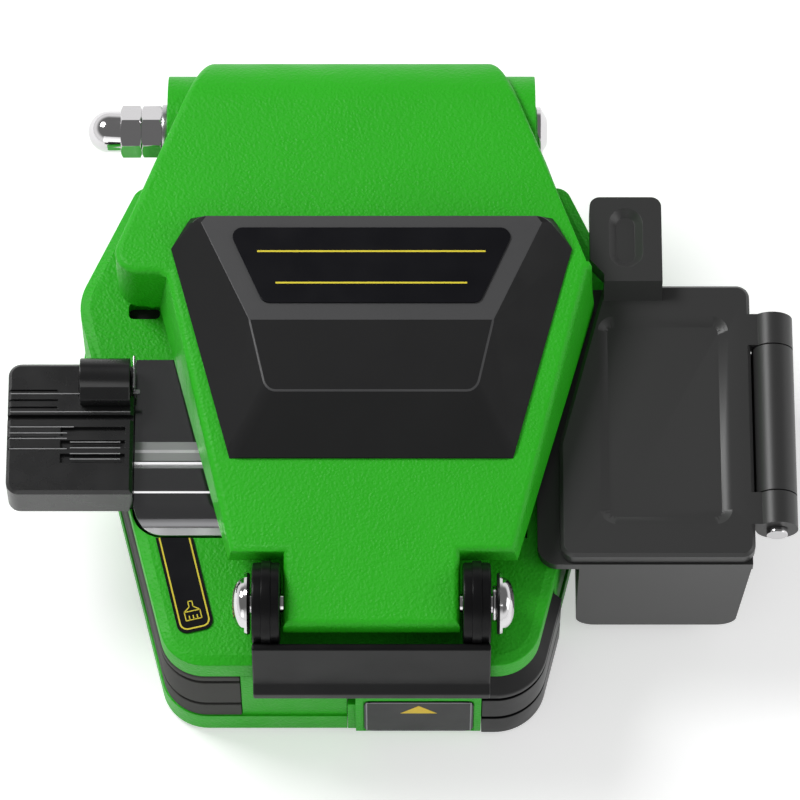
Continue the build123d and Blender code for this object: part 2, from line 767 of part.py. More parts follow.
# Fibre holder with its lines of grooves, the lug for the clamp's pin and two dowels
with BuildPart() as fibre_holder:
    block(holder_left_x, holder_right_x, holder_front_y, holder_back_y, holder_bottom, holder_top)
    fillet(fibre_holder.edges().filter_by(Axis.Z).sort_by(Axis.X)[:2], radius=holder_corner_r)
    chamfer(fibre_holder.faces().sort_by(Axis.Z)[-1].edges(), length=0.5)
    rod(clamp_barrel_r, clamp_left_x - 0.3 - clamp_lug, clamp_left_x - 0.3, clamp_y, clamp_z)
    rod(clamp_barrel_r + 0.3, clamp_left_x - 0.3, holder_right_x + 1, clamp_y, clamp_z, mode=Mode.SUBTRACT)
    block(clamp_left_x - 0.3, holder_right_x + 1, clamp_y, holder_back_y + 1, clamp_z - clamp_barrel_r, holder_top + 1,
          mode=Mode.SUBTRACT)
    for y in groove_lines:
        block(holder_left_x - 1, clamp_left_x - clamp_lug - 1.5, y - groove_line / 2, y + groove_line / 2,
              holder_top - groove_line, holder_top + 1, mode=Mode.SUBTRACT)
    block(holder_left_x - 1, holder_right_x + 1, fibre_y - v_groove / 2, fibre_y + v_groove / 2,
          holder_top - v_groove, holder_top + 1, mode=Mode.SUBTRACT)
    for y in (holder_steps_y, holder_steps_y - 2.2, holder_steps_y - 4.4):
        block(clamp_left_x - clamp_lug - 1, holder_right_x - 1.2, y - 1.5, y, holder_top - 0.7, holder_top + 1,
              mode=Mode.SUBTRACT)
    rod(clamp_pin_r + 0.02, clamp_left_x - 0.3 - clamp_lug - 1, clamp_left_x, clamp_y, clamp_z, mode=Mode.SUBTRACT)
    for y in holder_dowel_y:
        post(holder_dowel_r + 0.02, holder_dowel_x, y, holder_bottom - 1, holder_bottom + 4, mode=Mode.SUBTRACT)
finish(fibre_holder, "fibre_holder")

with BuildPart() as holder_dowels:
    for y in holder_dowel_y:
        post(holder_dowel_r, holder_dowel_x, y, holder_bottom - 2.7, holder_bottom + 3.9)
finish(holder_dowels, "holder_dowels")

with BuildPart() as clamp_pin:
    turned([(clamp_left_x - 0.3 - clamp_lug, 0), (clamp_left_x - 0.3 - clamp_lug, clamp_pin_r),
            (clamp_right_x + 0.2, clamp_pin_r), (clamp_right_x + 0.2, clamp_pin_head_r),
            (clamp_right_x + 1.3, clamp_pin_head_r), (clamp_right_x + 1.6, clamp_pin_head_r - 0.4),
            (clamp_right_x + 1.6, 0)], clamp_y, clamp_z)
finish(clamp_pin, "clamp_pin")

with BuildPart() as holder_clamp:
    rod(clamp_barrel_r, clamp_left_x, clamp_right_x, clamp_y, clamp_z)
    side_profile([(clamp_y, clamp_z - clamp_barrel_r + 1.5), (clamp_y, clamp_z + clamp_barrel_r - 0.6),
                  (clamp_y - 2.6, clamp_z + 1.4), (clamp_y - clamp_reach, clamp_z + 0.7),
                  (clamp_y - clamp_reach, holder_top + slide_gap), (clamp_y - 2, holder_top + slide_gap)],
                 clamp_left_x, clamp_right_x)
    rod(clamp_pin_r + axle_bore_gap, clamp_left_x - 1, clamp_right_x + 1, clamp_y, clamp_z, mode=Mode.SUBTRACT)
finish(holder_clamp, "holder_clamp")

# Blank name strip beside the holder
with BuildPart() as side_label:
    with BuildSketch(Plane.XY.offset(shell_top)):
        with Locations(Location((side_label_x, side_label_y, 0), (0, 0, side_label_turn))):
            RectangleRounded(side_label_width, side_label_length, side_label_width * 0.28)
    extrude(amount=label_thickness)
finish(side_label, "side_label")

# Axle of the lid's hinge with its washer and nuts
with BuildPart() as hinge_axle:
    turned([(-ear_outer_x - washer_thickness - nut_height - 4.5, 0),
            (-ear_outer_x - washer_thickness - nut_height - 4.5, axle_r - 0.4),
            (-ear_outer_x - washer_thickness - nut_height - 4.1, axle_r), (ear_outer_x, axle_r),
            (ear_outer_x, axle_head_r), (ear_outer_x + 0.9, axle_head_r), (ear_outer_x + axle_head, axle_head_r * 0.55),
            (ear_outer_x + axle_head, 1.3), (ear_outer_x + axle_head - 1, 1.3), (ear_outer_x + axle_head - 1, 0)],
           hinge_y, hinge_z)
finish(hinge_axle, "hinge_axle")

with BuildPart() as axle_washer:
    turned([(-ear_outer_x - washer_thickness, axle_r + 0.03), (-ear_outer_x - washer_thickness, washer_r),
            (-ear_outer_x, washer_r), (-ear_outer_x, axle_r + 0.03)], hinge_y, hinge_z)
finish(axle_washer, "axle_washer")


def hexagon_bar(x0, x1):
    """A six-sided nut blank with chamfered corners, axis along X and corners up and down."""
    with BuildSketch(Plane((x0, hinge_y, hinge_z), x_dir=(0, 0, 1), z_dir=(1, 0, 0))) as hexagon:
        RegularPolygon(nut_flats / 2, 6, major_radius=False)
    extrude(hexagon.sketch, amount=x1 - x0)
    corner = nut_flats / 2 / cos(radians(30))
    turned([(x0, 0), (x0, corner - nut_chamfer), (x0 + nut_chamfer * 0.5, corner), (x1 - nut_chamfer * 0.5, corner),
            (x1, corner - nut_chamfer), (x1, 0)], hinge_y, hinge_z, mode=Mode.INTERSECT)


nut_right_x = -ear_outer_x - washer_thickness
with BuildPart() as jam_nut:
    hexagon_bar(nut_right_x - nut_height, nut_right_x)
    rod(axle_r + 0.03, nut_right_x - 20, nut_right_x + 5, hinge_y, hinge_z, mode=Mode.SUBTRACT)
finish(jam_nut, "jam_nut")

acorn_right_x = nut_right_x - nut_height
acorn_collar_x = acorn_right_x - nut_height
with BuildPart() as acorn_nut:
    hexagon_bar(acorn_collar_x, acorn_right_x)
    with BuildSketch(Plane((0, hinge_y, hinge_z))):
        with BuildLine():
            Polyline((acorn_collar_x - acorn_neck, acorn_dome_r), (acorn_collar_x + 0.5, acorn_dome_r),
                     (acorn_collar_x + 0.5, 0), (acorn_collar_x - acorn_neck - acorn_dome_r, 0))
            RadiusArc((acorn_collar_x - acorn_neck - acorn_dome_r, 0), (acorn_collar_x - acorn_neck, acorn_dome_r),
                      acorn_dome_r)
        make_face()
    revolve(axis=Axis((0, hinge_y, hinge_z), (1, 0, 0)))
    rod(axle_r + 0.03, acorn_right_x - 4.6, acorn_right_x + 5, hinge_y, hinge_z, mode=Mode.SUBTRACT)
finish(acorn_nut, "acorn_nut")



lid_right_slope = lid_right_taper / (lid_corner_y - lid_front_y)
bin_lid_knee_y = lid_front_y + (bin_lid_left_x - bin_lid_gap - lid_front_right_x) / lid_right_slope


def bin_lid_edge_x(y):
    """Left edge of the bin's lid where it runs beside the wall of the tool's lid."""
    return bin_lid_left_x + lid_right_slope * (y - bin_lid_knee_y)


# Scrap bin: an open well with a hood over its inlet side and the fixed barrel of its hinge
well_left_x = bin_left_x + fit_gap
with BuildPart() as bin_body:
    with BuildSketch(Plane.XZ.offset(-bin_back_y)) as section:
        with BuildLine():
            Polyline((well_left_x, bin_bottom), (bin_right_x - bin_draft, bin_bottom), (bin_right_x, shell_top + 0.5),
                     (well_left_x, shell_top + 0.5), close=True)
        make_face()
        fillet(section.vertices().group_by(Axis.Y)[0], radius=bin_corner_r)
    extrude(amount=bin_back_y - bin_front_y)
    # Hood and rim, which reach over the base to the lid of the tool
    with BuildSketch(Plane.XY.offset(shell_top)) as hood:
        with BuildLine():
            Polyline((bin_hood_left_x, bin_front_y - rim_overhang), (bin_right_x, bin_front_y - rim_overhang),
                     (bin_right_x, bin_back_y + rim_overhang), (bin_hood_left_x, bin_back_y + rim_overhang), close=True)
        make_face()
        fillet(hood.vertices().group_by(Axis.Y)[0].sort_by(Axis.X)[0], radius=bin_hood_corner_r)
    extrude(amount=bin_hood_thickness)
    # The well
    with BuildSketch(Plane.XZ.offset(-bin_back_y + bin_wall)) as hollow:
        with BuildLine():
            Polyline((well_left_x + bin_wall, bin_bottom + bin_wall),
                     (bin_right_x - bin_draft - bin_wall, bin_bottom + bin_wall),
                     (bin_right_x - bin_wall, shell_top + 0.5), (well_left_x + bin_wall, shell_top + 0.5), close=True)
        make_face()
        fillet(hollow.vertices().group_by(Axis.Y)[0], radius=bin_corner_r - bin_wall)
    extrude(amount=bin_back_y - bin_front_y - 2 * bin_wall, mode=Mode.SUBTRACT)
    with BuildSketch(Plane.XY.offset(shell_top - 1)):
        with BuildLine():
            Polyline((well_left_x + bin_wall, bin_front_y + bin_wall), (bin_right_x - bin_wall, bin_front_y + bin_wall),
                     (bin_right_x - bin_wall, bin_back_y - bin_wall),
                     (bin_lid_edge_x(bin_back_y - bin_wall) + hood_lap, bin_back_y - bin_wall),
                     (well_left_x + bin_wall, bin_lid_knee_y), close=True)
        make_face()
    extrude(amount=bin_hood_thickness + 2, mode=Mode.SUBTRACT)
    # Fixed barrel of the hinge
    rod_y(bin_knuckle_r, bin_barrel_front_y, bin_barrel_back_y, bin_hinge_x, bin_hinge_z)
    block(bin_right_x - 0.5, bin_hinge_x - 0.5, bin_barrel_front_y, bin_barrel_back_y, bin_hinge_z - bin_knuckle_r,
          shell_top + bin_hood_thickness - 0.2)
    rod_y(bin_pin_r + 0.02, bin_front_y, bin_back_y, bin_hinge_x, bin_hinge_z, mode=Mode.SUBTRACT)
    for y in bin_screw_y:
        rod(bin_screw_r + fit_gap / 2, bin_left_x - 1, bin_left_x + 4, y, bin_screw_z, mode=Mode.SUBTRACT)
finish(bin_body, "bin_body")

with BuildPart() as bin_screws:
    for y in bin_screw_y:
        rod(bin_screw_head_r, well_left_x + bin_wall, well_left_x + bin_wall + bin_screw_head, y, bin_screw_z)
        rod(bin_screw_r, bin_left_x - 3.8, well_left_x + bin_wall + 0.1, y, bin_screw_z)
finish(bin_screws, "bin_screws")

# Lid of the scrap bin, with its bevelled panel, thumb tab and two knuckles
with BuildPart() as bin_lid:
    with BuildSketch(Plane.XY.offset(bin_lid_bottom)) as outline:
        with BuildLine():
            Polyline((bin_lid_left_x, bin_front_y - bin_lid_inset), (bin_lid_right_x, bin_front_y - bin_lid_inset),
                     (bin_lid_right_x, bin_back_y), (bin_lid_edge_x(bin_back_y), bin_back_y),
                     (bin_lid_left_x, bin_lid_knee_y), close=True)
        make_face()
        fillet(outline.vertices().group_by(Axis.Y)[0], radius=bin_lid_corner_r)
        fillet(outline.vertices().group_by(Axis.Y)[-1].sort_by(Axis.X)[-1], radius=bin_lid_corner_r)
    extrude(amount=bin_lid_thickness)
    chamfer(bin_lid.faces().sort_by(Axis.Z)[-1].edges(), length=0.5)
    # Bevelled panel sunk into the top
    with BuildSketch(Plane.XY.offset(bin_lid_top)):
        with Locations(((panel_left_x + panel_right_x) / 2, (panel_front_y + panel_back_y) / 2)):
            RectangleRounded(panel_right_x - panel_left_x, panel_back_y - panel_front_y, panel_corner_r)
    extrude(amount=-panel_depth, taper=panel_taper, mode=Mode.SUBTRACT)
    # Thumb tab with its oval dimple
    side_profile([(tab_ramp_y, bin_lid_top - 0.6), (tab_ramp_y + 1.7, tab_top), (bin_back_y + 1, tab_top),
                  (bin_back_y + 1, tab_top - tab_thickness), (bin_back_y - 0.6, tab_top - tab_thickness),
                  (bin_back_y - 0.6, bin_lid_top - 0.6)], tab_ramp_left_x, tab_right_x)
    with BuildSketch(Plane.XY.offset(tab_top - tab_thickness)) as thumb:
        with BuildLine():
            Polyline((tab_ramp_left_x, bin_back_y), (tab_right_x, bin_back_y), (tab_right_x, tab_back_y),
                     (tab_left_x, tab_back_y), (tab_left_x, tab_left_y), close=True)
        make_face()
        fillet(thumb.vertices().group_by(Axis.Y)[-1], radius=tab_corner_r)
    extrude(amount=tab_thickness)
    with BuildSketch(Plane.XY.offset(tab_top)):
        with Locations((dimple_x, dimple_y)):
            SlotOverall(2 * dimple_half_length, 2 * dimple_half_width, rotation=90)
    extrude(amount=-dimple_depth, taper=dimple_taper, mode=Mode.SUBTRACT)
    # Knuckles either side of the bin's barrel
    for y0, y1 in knuckle_spans:
        rod_y(bin_knuckle_r, y0, y1, bin_hinge_x, bin_hinge_z)
        block(bin_lid_right_x - 1, bin_hinge_x, y0, y1, bin_lid_bottom, bin_lid_top)
    rod_y(bin_pin_r + axle_bore_gap, bin_front_y - 5, bin_back_y + 5, bin_hinge_x, bin_hinge_z, mode=Mode.SUBTRACT)
finish(bin_lid, "bin_lid")

with BuildPart() as bin_hinge_pin:
    rod_y(bin_pin_r, knuckle_spans[0][0] - 0.2, knuckle_spans[1][1] + 0.4, bin_hinge_x, bin_hinge_z)
    rod_y(bin_pin_head_r, knuckle_spans[0][0] - 0.9, knuckle_spans[0][0] - 0.1, bin_hinge_x, bin_hinge_z)
finish(bin_hinge_pin, "bin_hinge_pin")

# Carriage: green push cap and black corner grip on a frame that is fixed to the sliding block
with BuildPart() as slider_block:
    block(block_left_x, block_right_x, frame_back_y, block_back_y, plate_top + slide_gap + 0.1, block_top)
    block(rail_left_x - slide_gap, rail_right_x + slide_gap, frame_back_y - 1, block_back_y + 1, plate_top,
          rail_top + slide_gap, mode=Mode.SUBTRACT)
    for x, y in bracket_screw_points:
        post(bracket_screw_r + fit_gap / 2, x, y, rail_top + slide_gap - 1, block_top + 1, mode=Mode.SUBTRACT)
finish(slider_block, "slider_block")

with BuildPart() as carriage_frame:
    with BuildSketch(Plane.XY.offset(frame_bottom)):
        add(front_corner_strip(plan_grip_inner, plan_frame_inner, frame_left_x, carriage_back_y - 0.8))
        with Locations(((frame_left_x + frame_plate_right_x) / 2, frame_back_y - frame_plate / 2)):
            Rectangle(frame_plate_right_x - frame_left_x, frame_plate)
    extrude(amount=frame_height)
finish(carriage_frame, "carriage_frame")

with BuildPart() as push_cap:
    block(cap_left_x, cap_right_x, grip_front_y, grip_front_y + grip_wall, carriage_bottom, cap_top)
    fillet(push_cap.faces().sort_by(Axis.Y)[0].edges().filter_by(Axis.X), radius=0.8)
    block(push_label_left_x - 0.1, push_label_right_x + 0.1, grip_front_y - 1, grip_front_y + label_thickness / 2,
          push_label_bottom - 0.1, push_label_top + 0.1, mode=Mode.SUBTRACT)
finish(push_cap, "push_cap")

with BuildPart() as push_label:
    with BuildSketch(Plane.XZ.offset(-grip_front_y - label_thickness / 2)):
        with Locations(((push_label_left_x + push_label_right_x) / 2, (push_label_bottom + push_label_top) / 2)):
            RectangleRounded(push_label_right_x - push_label_left_x, push_label_top - push_label_bottom, 1.5)
    extrude(amount=label_thickness)
finish(push_label, "push_label")

with BuildPart() as carriage_grip:
    with BuildSketch(Plane.XY.offset(carriage_bottom)):
        add(plan_grip_outer)
    extrude(amount=grip_bevel_bottom - carriage_bottom)
    with BuildSketch(Plane.XY.offset(grip_bevel_bottom)):
        add(plan_grip_outer)
    extrude(amount=grip_top - grip_bevel_bottom, taper=grip_bevel_angle)
    with BuildSketch(Plane.XY.offset(carriage_bottom)):
        add(front_corner_strip(plan_far, plan_grip_inner, cap_right_x + 0.1, carriage_back_y - 0.3))
    extrude(amount=grip_top - carriage_bottom, mode=Mode.INTERSECT)
    for z in grip_grooves:
        with BuildSketch(Plane.XY.offset(z)):
            add(plan_far)
            add(plan_grip_groove, mode=Mode.SUBTRACT)
        extrude(amount=groove_width, mode=Mode.SUBTRACT)
finish(carriage_grip, "carriage_grip")

# Blade wheel on its bracket
with BuildPart() as blade_bracket:
    side_profile([(blade_y - bracket_half, block_top), (blade_y + bracket_half, block_top),
                  (blade_y + bracket_head_r, blade_z), (blade_y - bracket_head_r, blade_z)],
                 bracket_left_x, bracket_left_x + bracket_thickness)
    rod(bracket_head_r, bracket_left_x, bracket_left_x + bracket_thickness, blade_y, blade_z)
    block(bracket_left_x + bracket_thickness - 0.1, bracket_foot_x, blade_y - bracket_half, blade_y + bracket_half,
          block_top, block_top + bracket_foot)
    rod(blade_hole_r, bracket_left_x - 1, bracket_left_x + bracket_thickness + 1, blade_y, blade_z, mode=Mode.SUBTRACT)
    for x, y in bracket_screw_points:
        post(bracket_screw_r + fit_gap, x, y, block_top - 1, block_top + bracket_foot + 1, mode=Mode.SUBTRACT)
finish(blade_bracket, "blade_bracket")

with BuildPart() as bracket_screws:
    for x, y in bracket_screw_points:
        screw_down(bracket_screw_head_r, bracket_screw_head, bracket_screw_r, x, y, block_top + bracket_foot,
                   rail_top + slide_gap + 0.4)
finish(bracket_screws, "bracket_screws")

with BuildPart() as blade_wheel:
    turned([(blade_x - blade_thickness / 2, blade_hole_r), (blade_x - blade_thickness / 2, blade_r - blade_bevel),
            (blade_x, blade_r), (blade_x + blade_thickness / 2, blade_r - blade_bevel),
            (blade_x + blade_thickness / 2, blade_hole_r)], blade_y, blade_z)
finish(blade_wheel, "blade_wheel")

blade_left_face = blade_x - blade_thickness / 2
with BuildPart() as blade_screw:
    turned([(blade_left_face - fit_gap - blade_screw_head, 0),
            (blade_left_face - fit_gap - blade_screw_head, blade_screw_head_r - 0.4),
            (blade_left_face - fit_gap - blade_screw_head + 0.4, blade_screw_head_r),
            (blade_left_face - fit_gap, blade_screw_head_r), (blade_left_face - fit_gap, blade_hole_r - axle_bore_gap),
            (bracket_left_x + bracket_thickness, blade_hole_r - axle_bore_gap),
            (bracket_left_x + bracket_thickness, 0)], blade_y, blade_z)
finish(blade_screw, "blade_screw")


def lid_plan(inset=0.0):
    """Outline of the tool's lid: a wing at the left, tapering sides and a straight front."""
    with BuildSketch() as plan:
        with BuildLine():
            Polyline(
                (-lid_back_half, lid_back_y),
                (-lid_corner_half, lid_corner_y),
                (lid_wing_inner_x, lid_corner_y),
                (lid_front_left_x, lid_front_y),
                (lid_front_right_x, lid_front_y),
                (lid_right_x, lid_corner_y),
                (lid_back_half, lid_back_y),
                close=True,
            )
        make_face()
        corners = plan.vertices().filter_by_position(Axis.Y, lid_corner_y - 0.1, lid_corner_y + 0.1).sort_by(Axis.X)
        fillet(corners[0], radius=lid_wing_corner_r)
        corners = plan.vertices().filter_by_position(Axis.Y, lid_corner_y - 0.1, lid_corner_y + 0.1).sort_by(Axis.X)
        fillet(corners[-2:], radius=lid_corner_r)
        if inset:
            offset(amount=-inset, kind=Kind.INTERSECTION)
    return plan.sketch


# Hollow under the tool's lid
with BuildPart() as lid_hollow:
    with BuildSketch(Plane.XY.offset(lid_wall_bottom - 2)):
        add(lid_plan(lid_wall))
    extrude(amount=20)
    with BuildSketch(Plane.YZ.offset(-lid_corner_half - 5)):
        with BuildLine():
            Polyline((lid_front_y + lid_wall, lid_wall_bottom - 1),
                     (lid_front_y + lid_wall, lid_ceiling_at(lid_front_y + lid_wall)),
                     (lid_break_y, lid_ceiling_at(lid_break_y)), (lid_wall_back_y + 1, lid_ceiling_at(lid_break_y)),
                     (lid_wall_back_y + 1, lid_wall_bottom - 1), close=True)
        make_face()
    extrude(amount=2 * lid_corner_half + 10, mode=Mode.INTERSECT)

# Tool's lid: sloping top, leaning sides, a rolled back that wraps the hinge and a tongue at the front
with BuildPart() as lid_shell:
    with BuildSketch(Plane.XY.offset(lid_wall_bottom - 2)):
        add(lid_plan())
    extrude(amount=20)
    with BuildSketch(Plane.YZ.offset(-lid_corner_half - 5)):
        with BuildLine():
            Polyline((hinge_y, lid_flat_top), (lid_break_y, lid_flat_top), (lid_front_y, lid_top(lid_front_y)),
                     (lid_front_y, lid_front_wall_bottom), (lid_corner_y, lid_wall_bottom),
                     (hinge_y + lid_skin_outer_r, lid_wall_bottom), (hinge_y + lid_skin_outer_r, hinge_z))
            RadiusArc((hinge_y + lid_skin_outer_r, hinge_z), (hinge_y, lid_flat_top), -lid_skin_outer_r)
        make_face()
    extrude(amount=2 * lid_corner_half + 10, mode=Mode.INTERSECT)
    # Sides that lean inwards ahead of the wing
    for start_x, front_x, side in ((lid_wing_inner_x, lid_front_left_x, 1), (lid_right_x, lid_front_right_x, -1)):
        run = Vector(front_x - start_x, lid_front_y - lid_corner_y, 0).normalized()
        inward = Vector(-run.Y * side, run.X * side, 0)
        with BuildSketch(Plane((start_x, lid_corner_y, lid_wall_bottom), x_dir=inward, z_dir=run)):
            with BuildLine():
                Polyline((0, -3 * side), (0, 0), (lid_side_lean * lid_side_depth, lid_side_depth * side),
                         (-8, lid_side_depth * side), (-8, -3 * side),
                         close=True)
            make_face()
        extrude(amount=60, mode=Mode.SUBTRACT)
    # Open space under the rolled back
    with BuildSketch(Plane.YZ.offset(-lid_corner_half - 5)):
        with BuildLine():
            Polyline((lid_wall_back_y, lid_wall_bottom - 3), (lid_wall_back_y, lid_skin_bottom), (hinge_y, lid_skin_bottom))
            CenterArc((hinge_y, hinge_z), lid_skin_inner_r, 90, -skin_end_angle)
            Polyline((hinge_y + lid_skin_inner_r * sin(radians(skin_end_angle)),
                      hinge_z + lid_skin_inner_r * cos(radians(skin_end_angle))),
                     (hinge_y + 14 * sin(radians(skin_end_angle)), hinge_z + 14 * cos(radians(skin_end_angle))),
                     (hinge_y + 14, lid_wall_bottom - 3), (lid_wall_back_y, lid_wall_bottom - 3))
        make_face()
    extrude(amount=2 * lid_corner_half + 10, mode=Mode.SUBTRACT)
    add(lid_hollow.part, mode=Mode.SUBTRACT)
    # Hinge barrel, hung from the rolled skin by ribs
    rod(lid_barrel_r, -lid_barrel_half, lid_barrel_half, hinge_y, hinge_z)
    for x in lid_rib_x:
        block(x - lid_rib_width / 2, x + lid_rib_width / 2, hinge_y - 4.8, hinge_y + 3.5, hinge_z - 1, lid_skin_bottom + 0.2)
    rod(axle_r + axle_bore_gap, -lid_barrel_half - 1, lid_barrel_half + 1, hinge_y, hinge_z, mode=Mode.SUBTRACT)
    # Tongue and the boss that the latch's shaft is fixed in
    side_profile([(tongue_front_y, lid_top(tongue_front_y) - tongue_thickness), (tongue_front_y, lid_top(tongue_front_y)),
                  (lid_front_y + 2, lid_top(lid_front_y + 2)),
                  (lid_front_y + 2, lid_top(lid_front_y + 2) - tongue_thickness)], tongue_left_x, tongue_right_x)
    rod(latch_boss_r, tongue_left_x, tongue_right_x, latch_y, latch_z)
    rod(latch_shaft_r + 0.02, tongue_left_x - 1, tongue_right_x + 1, latch_y, latch_z, mode=Mode.SUBTRACT)
    # Tapped holes for the carrier's screws
    for x, y in carrier_screw_points:
        post(carrier_screw_r + fit_gap / 2, x, y, lid_ceiling_at(y) - 1, lid_ceiling_at(y) + carrier_screw_bite + 0.2,
             mode=Mode.SUBTRACT)
finish(lid_shell, "lid_shell")


def facet(*points):
    """A flat face between points."""
    return Face(Wire.make_polygon([Vector(*point) for point in points]))


# Faceted pad: two sloping facets on top, steep flanks, and a skirt down into the lid's top
pad_left = {}
pad_right = {}
for name, (half, y, rise) in pad_corners.items():
    pad_left[name] = (pad_centre_x - half, y, lid_top(y) + rise)
    pad_right[name] = (pad_centre_x + half, y, lid_top(y) + rise)
pad_faces = [
    facet(pad_left["back"], pad_right["back"], pad_right["crease"], pad_left["crease"]),
    facet(pad_left["crease"], pad_right["crease"], pad_right["front"], pad_left["front"]),
    facet(pad_left["front"], pad_right["front"], pad_right["toe"], pad_left["toe"]),
    facet(pad_left["back"], pad_right["back"], pad_right["heel"], pad_left["heel"]),
]
for side in (pad_left, pad_right):
    pad_faces.append(facet(side["back"], side["heel"], side["wide"]))
    pad_faces.append(facet(side["back"], side["wide"], side["crease"]))
    pad_faces.append(facet(side["crease"], side["wide"], side["toe"]))
    pad_faces.append(facet(side["crease"], side["toe"], side["front"]))
pad_ring = [pad_left["heel"], pad_left["wide"], pad_left["toe"], pad_right["toe"], pad_right["wide"], pad_right["heel"]]
pad_base = [(x, y, lid_front_wall_bottom) for x, y, z in pad_ring]
for k in range(len(pad_ring)):
    following = (k + 1) % len(pad_ring)
    pad_faces.append(facet(pad_ring[k], pad_ring[following], pad_base[following], pad_base[k]))
pad_faces.append(facet(*pad_base))
pad_block = Solid(Shell(pad_faces))

with BuildPart() as lid_pad:
    add(pad_block)
    side_profile([(lid_front_y, lid_front_wall_bottom - 1), (lid_front_y, lid_top(lid_front_y)), (lid_break_y, lid_flat_top),
                  (hinge_y, lid_flat_top), (hinge_y, lid_front_wall_bottom - 1)], -lid_corner_half, lid_corner_half + 5,
                 mode=Mode.SUBTRACT)
finish(lid_pad, "lid_pad")

# Blank label on the pad's upper facet
facet_rise = pad_left["back"][2] - pad_left["crease"][2]
facet_run = pad_left["back"][1] - pad_left["crease"][1]
facet_plane = Plane((pad_centre_x, pad_left["crease"][1], pad_left["crease"][2]), x_dir=(1, 0, 0),
                    z_dir=(0, -facet_rise, facet_run))
with BuildPart() as lid_label:
    with BuildSketch(facet_plane) as plate:
        with BuildLine():
            Polyline((-lid_label_front_half, lid_label_front), (lid_label_front_half, lid_label_front),
                     (lid_label_back_half, lid_label_back), (-lid_label_back_half, lid_label_back), close=True)
        make_face()
        fillet(plate.vertices(), radius=lid_label_corner_r)
    extrude(amount=label_thickness)
finish(lid_label, "lid_label")

# Carrier under the lid with its four screws, the two upper clamps and the anvil between them
with BuildPart() as clamp_carrier:
    side_profile([(carrier_front_y, carrier_bottom), (carrier_front_y, lid_ceiling_at(carrier_front_y)),
                  (carrier_back_y, lid_ceiling_at(carrier_back_y)), (carrier_back_y, carrier_bottom)],
                 carrier_left_x, carrier_right_x)
    post(anvil_stem_r + axle_bore_gap, blade_x, fibre_y, carrier_bottom - 1, lid_flat_top, mode=Mode.SUBTRACT)
    for x, y in carrier_screw_points:
        post(carrier_screw_r + fit_gap, x, y, carrier_bottom - 1, lid_flat_top, mode=Mode.SUBTRACT)
finish(clamp_carrier, "clamp_carrier")

with BuildPart() as carrier_screws:
    for x, y in carrier_screw_points:
        post(carrier_screw_head_r, x, y, carrier_bottom - carrier_screw_head, carrier_bottom)
        post(carrier_screw_head_r * 0.5, x, y, carrier_bottom - carrier_screw_head - 1,
             carrier_bottom - carrier_screw_head * 0.5, mode=Mode.SUBTRACT)
        post(carrier_screw_r, x, y, carrier_bottom - 0.1, lid_ceiling_at(y) + carrier_screw_bite)
finish(carrier_screws, "carrier_screws")

upper_pad_bottom = fibre_z + slide_gap
upper_pad_top = upper_pad_bottom + upper_pad_thickness
upper_clamp_spans = {"left": slot_left_x - pad_edge - lower_pad_length, "right": slot_right_x + pad_edge}
for side, start_x in upper_clamp_spans.items():
    with BuildPart() as upper_clamp:
        block(start_x, start_x + lower_pad_length, fibre_y - lower_pad_width / 2, fibre_y + lower_pad_width / 2,
              upper_pad_top, carrier_bottom)
        chamfer(upper_clamp.edges().filter_by(Axis.Z), length=0.6)
    finish(upper_clamp, "upper_clamp_" + side)
    with BuildPart() as upper_pad:
        block(start_x + 0.3, start_x + lower_pad_length - 0.3, fibre_y - lower_pad_width / 2 + 0.3,
              fibre_y + lower_pad_width / 2 - 0.3, upper_pad_bottom, upper_pad_top)
        chamfer(upper_pad.edges().filter_by(Axis.Z), length=0.5)
    finish(upper_pad, "upper_pad_" + side)

with BuildPart() as anvil:
    block(blade_x - anvil_width / 2, blade_x + anvil_width / 2, fibre_y - anvil_length / 2, fibre_y + anvil_length / 2,
          anvil_bottom, anvil_bottom + anvil_head)
    post(anvil_stem_r, blade_x, fibre_y, anvil_bottom + anvil_head - 0.1, anvil_stem_top)
finish(anvil, "anvil")

with BuildPart() as anvil_spring:
    post(spring_outer_r, blade_x, fibre_y, anvil_bottom + anvil_head + fit_gap, carrier_bottom - fit_gap)
    post(spring_inner_r, blade_x, fibre_y, anvil_bottom, carrier_bottom + 1, mode=Mode.SUBTRACT)
finish(anvil_spring, "anvil_spring")

# Latch: a shaft through the tongue, two dished washers, two screws and the bail that turns on it
washer_left_x = latch_arm_left_x - latch_arm_gap - latch_washer
washer_right_x = latch_arm_right_x + latch_arm_gap + latch_collar - 0.2 + 0.6
with BuildPart() as latch_shaft:
    rod(latch_shaft_r, washer_left_x - latch_washer, washer_right_x + latch_washer, latch_y, latch_z)
    rod(latch_collar_r, latch_arm_right_x + 0.25, latch_arm_right_x + 0.25 + latch_collar, latch_y, latch_z)
    for x in (washer_left_x - latch_washer, washer_right_x + latch_washer):
        rod(latch_screw_r + 0.02, x - latch_screw_bite - 0.3, x + latch_screw_bite + 0.3, latch_y, latch_z,
            mode=Mode.SUBTRACT)
finish(latch_shaft, "latch_shaft")

with BuildPart() as latch_washers:
    for x in (washer_left_x - latch_washer, washer_right_x):
        rod(latch_washer_r, x, x + latch_washer, latch_y, latch_z)
    rod(latch_shaft_r + 0.02, washer_left_x - 10, washer_right_x + 10, latch_y, latch_z, mode=Mode.SUBTRACT)
finish(latch_washers, "latch_washers")

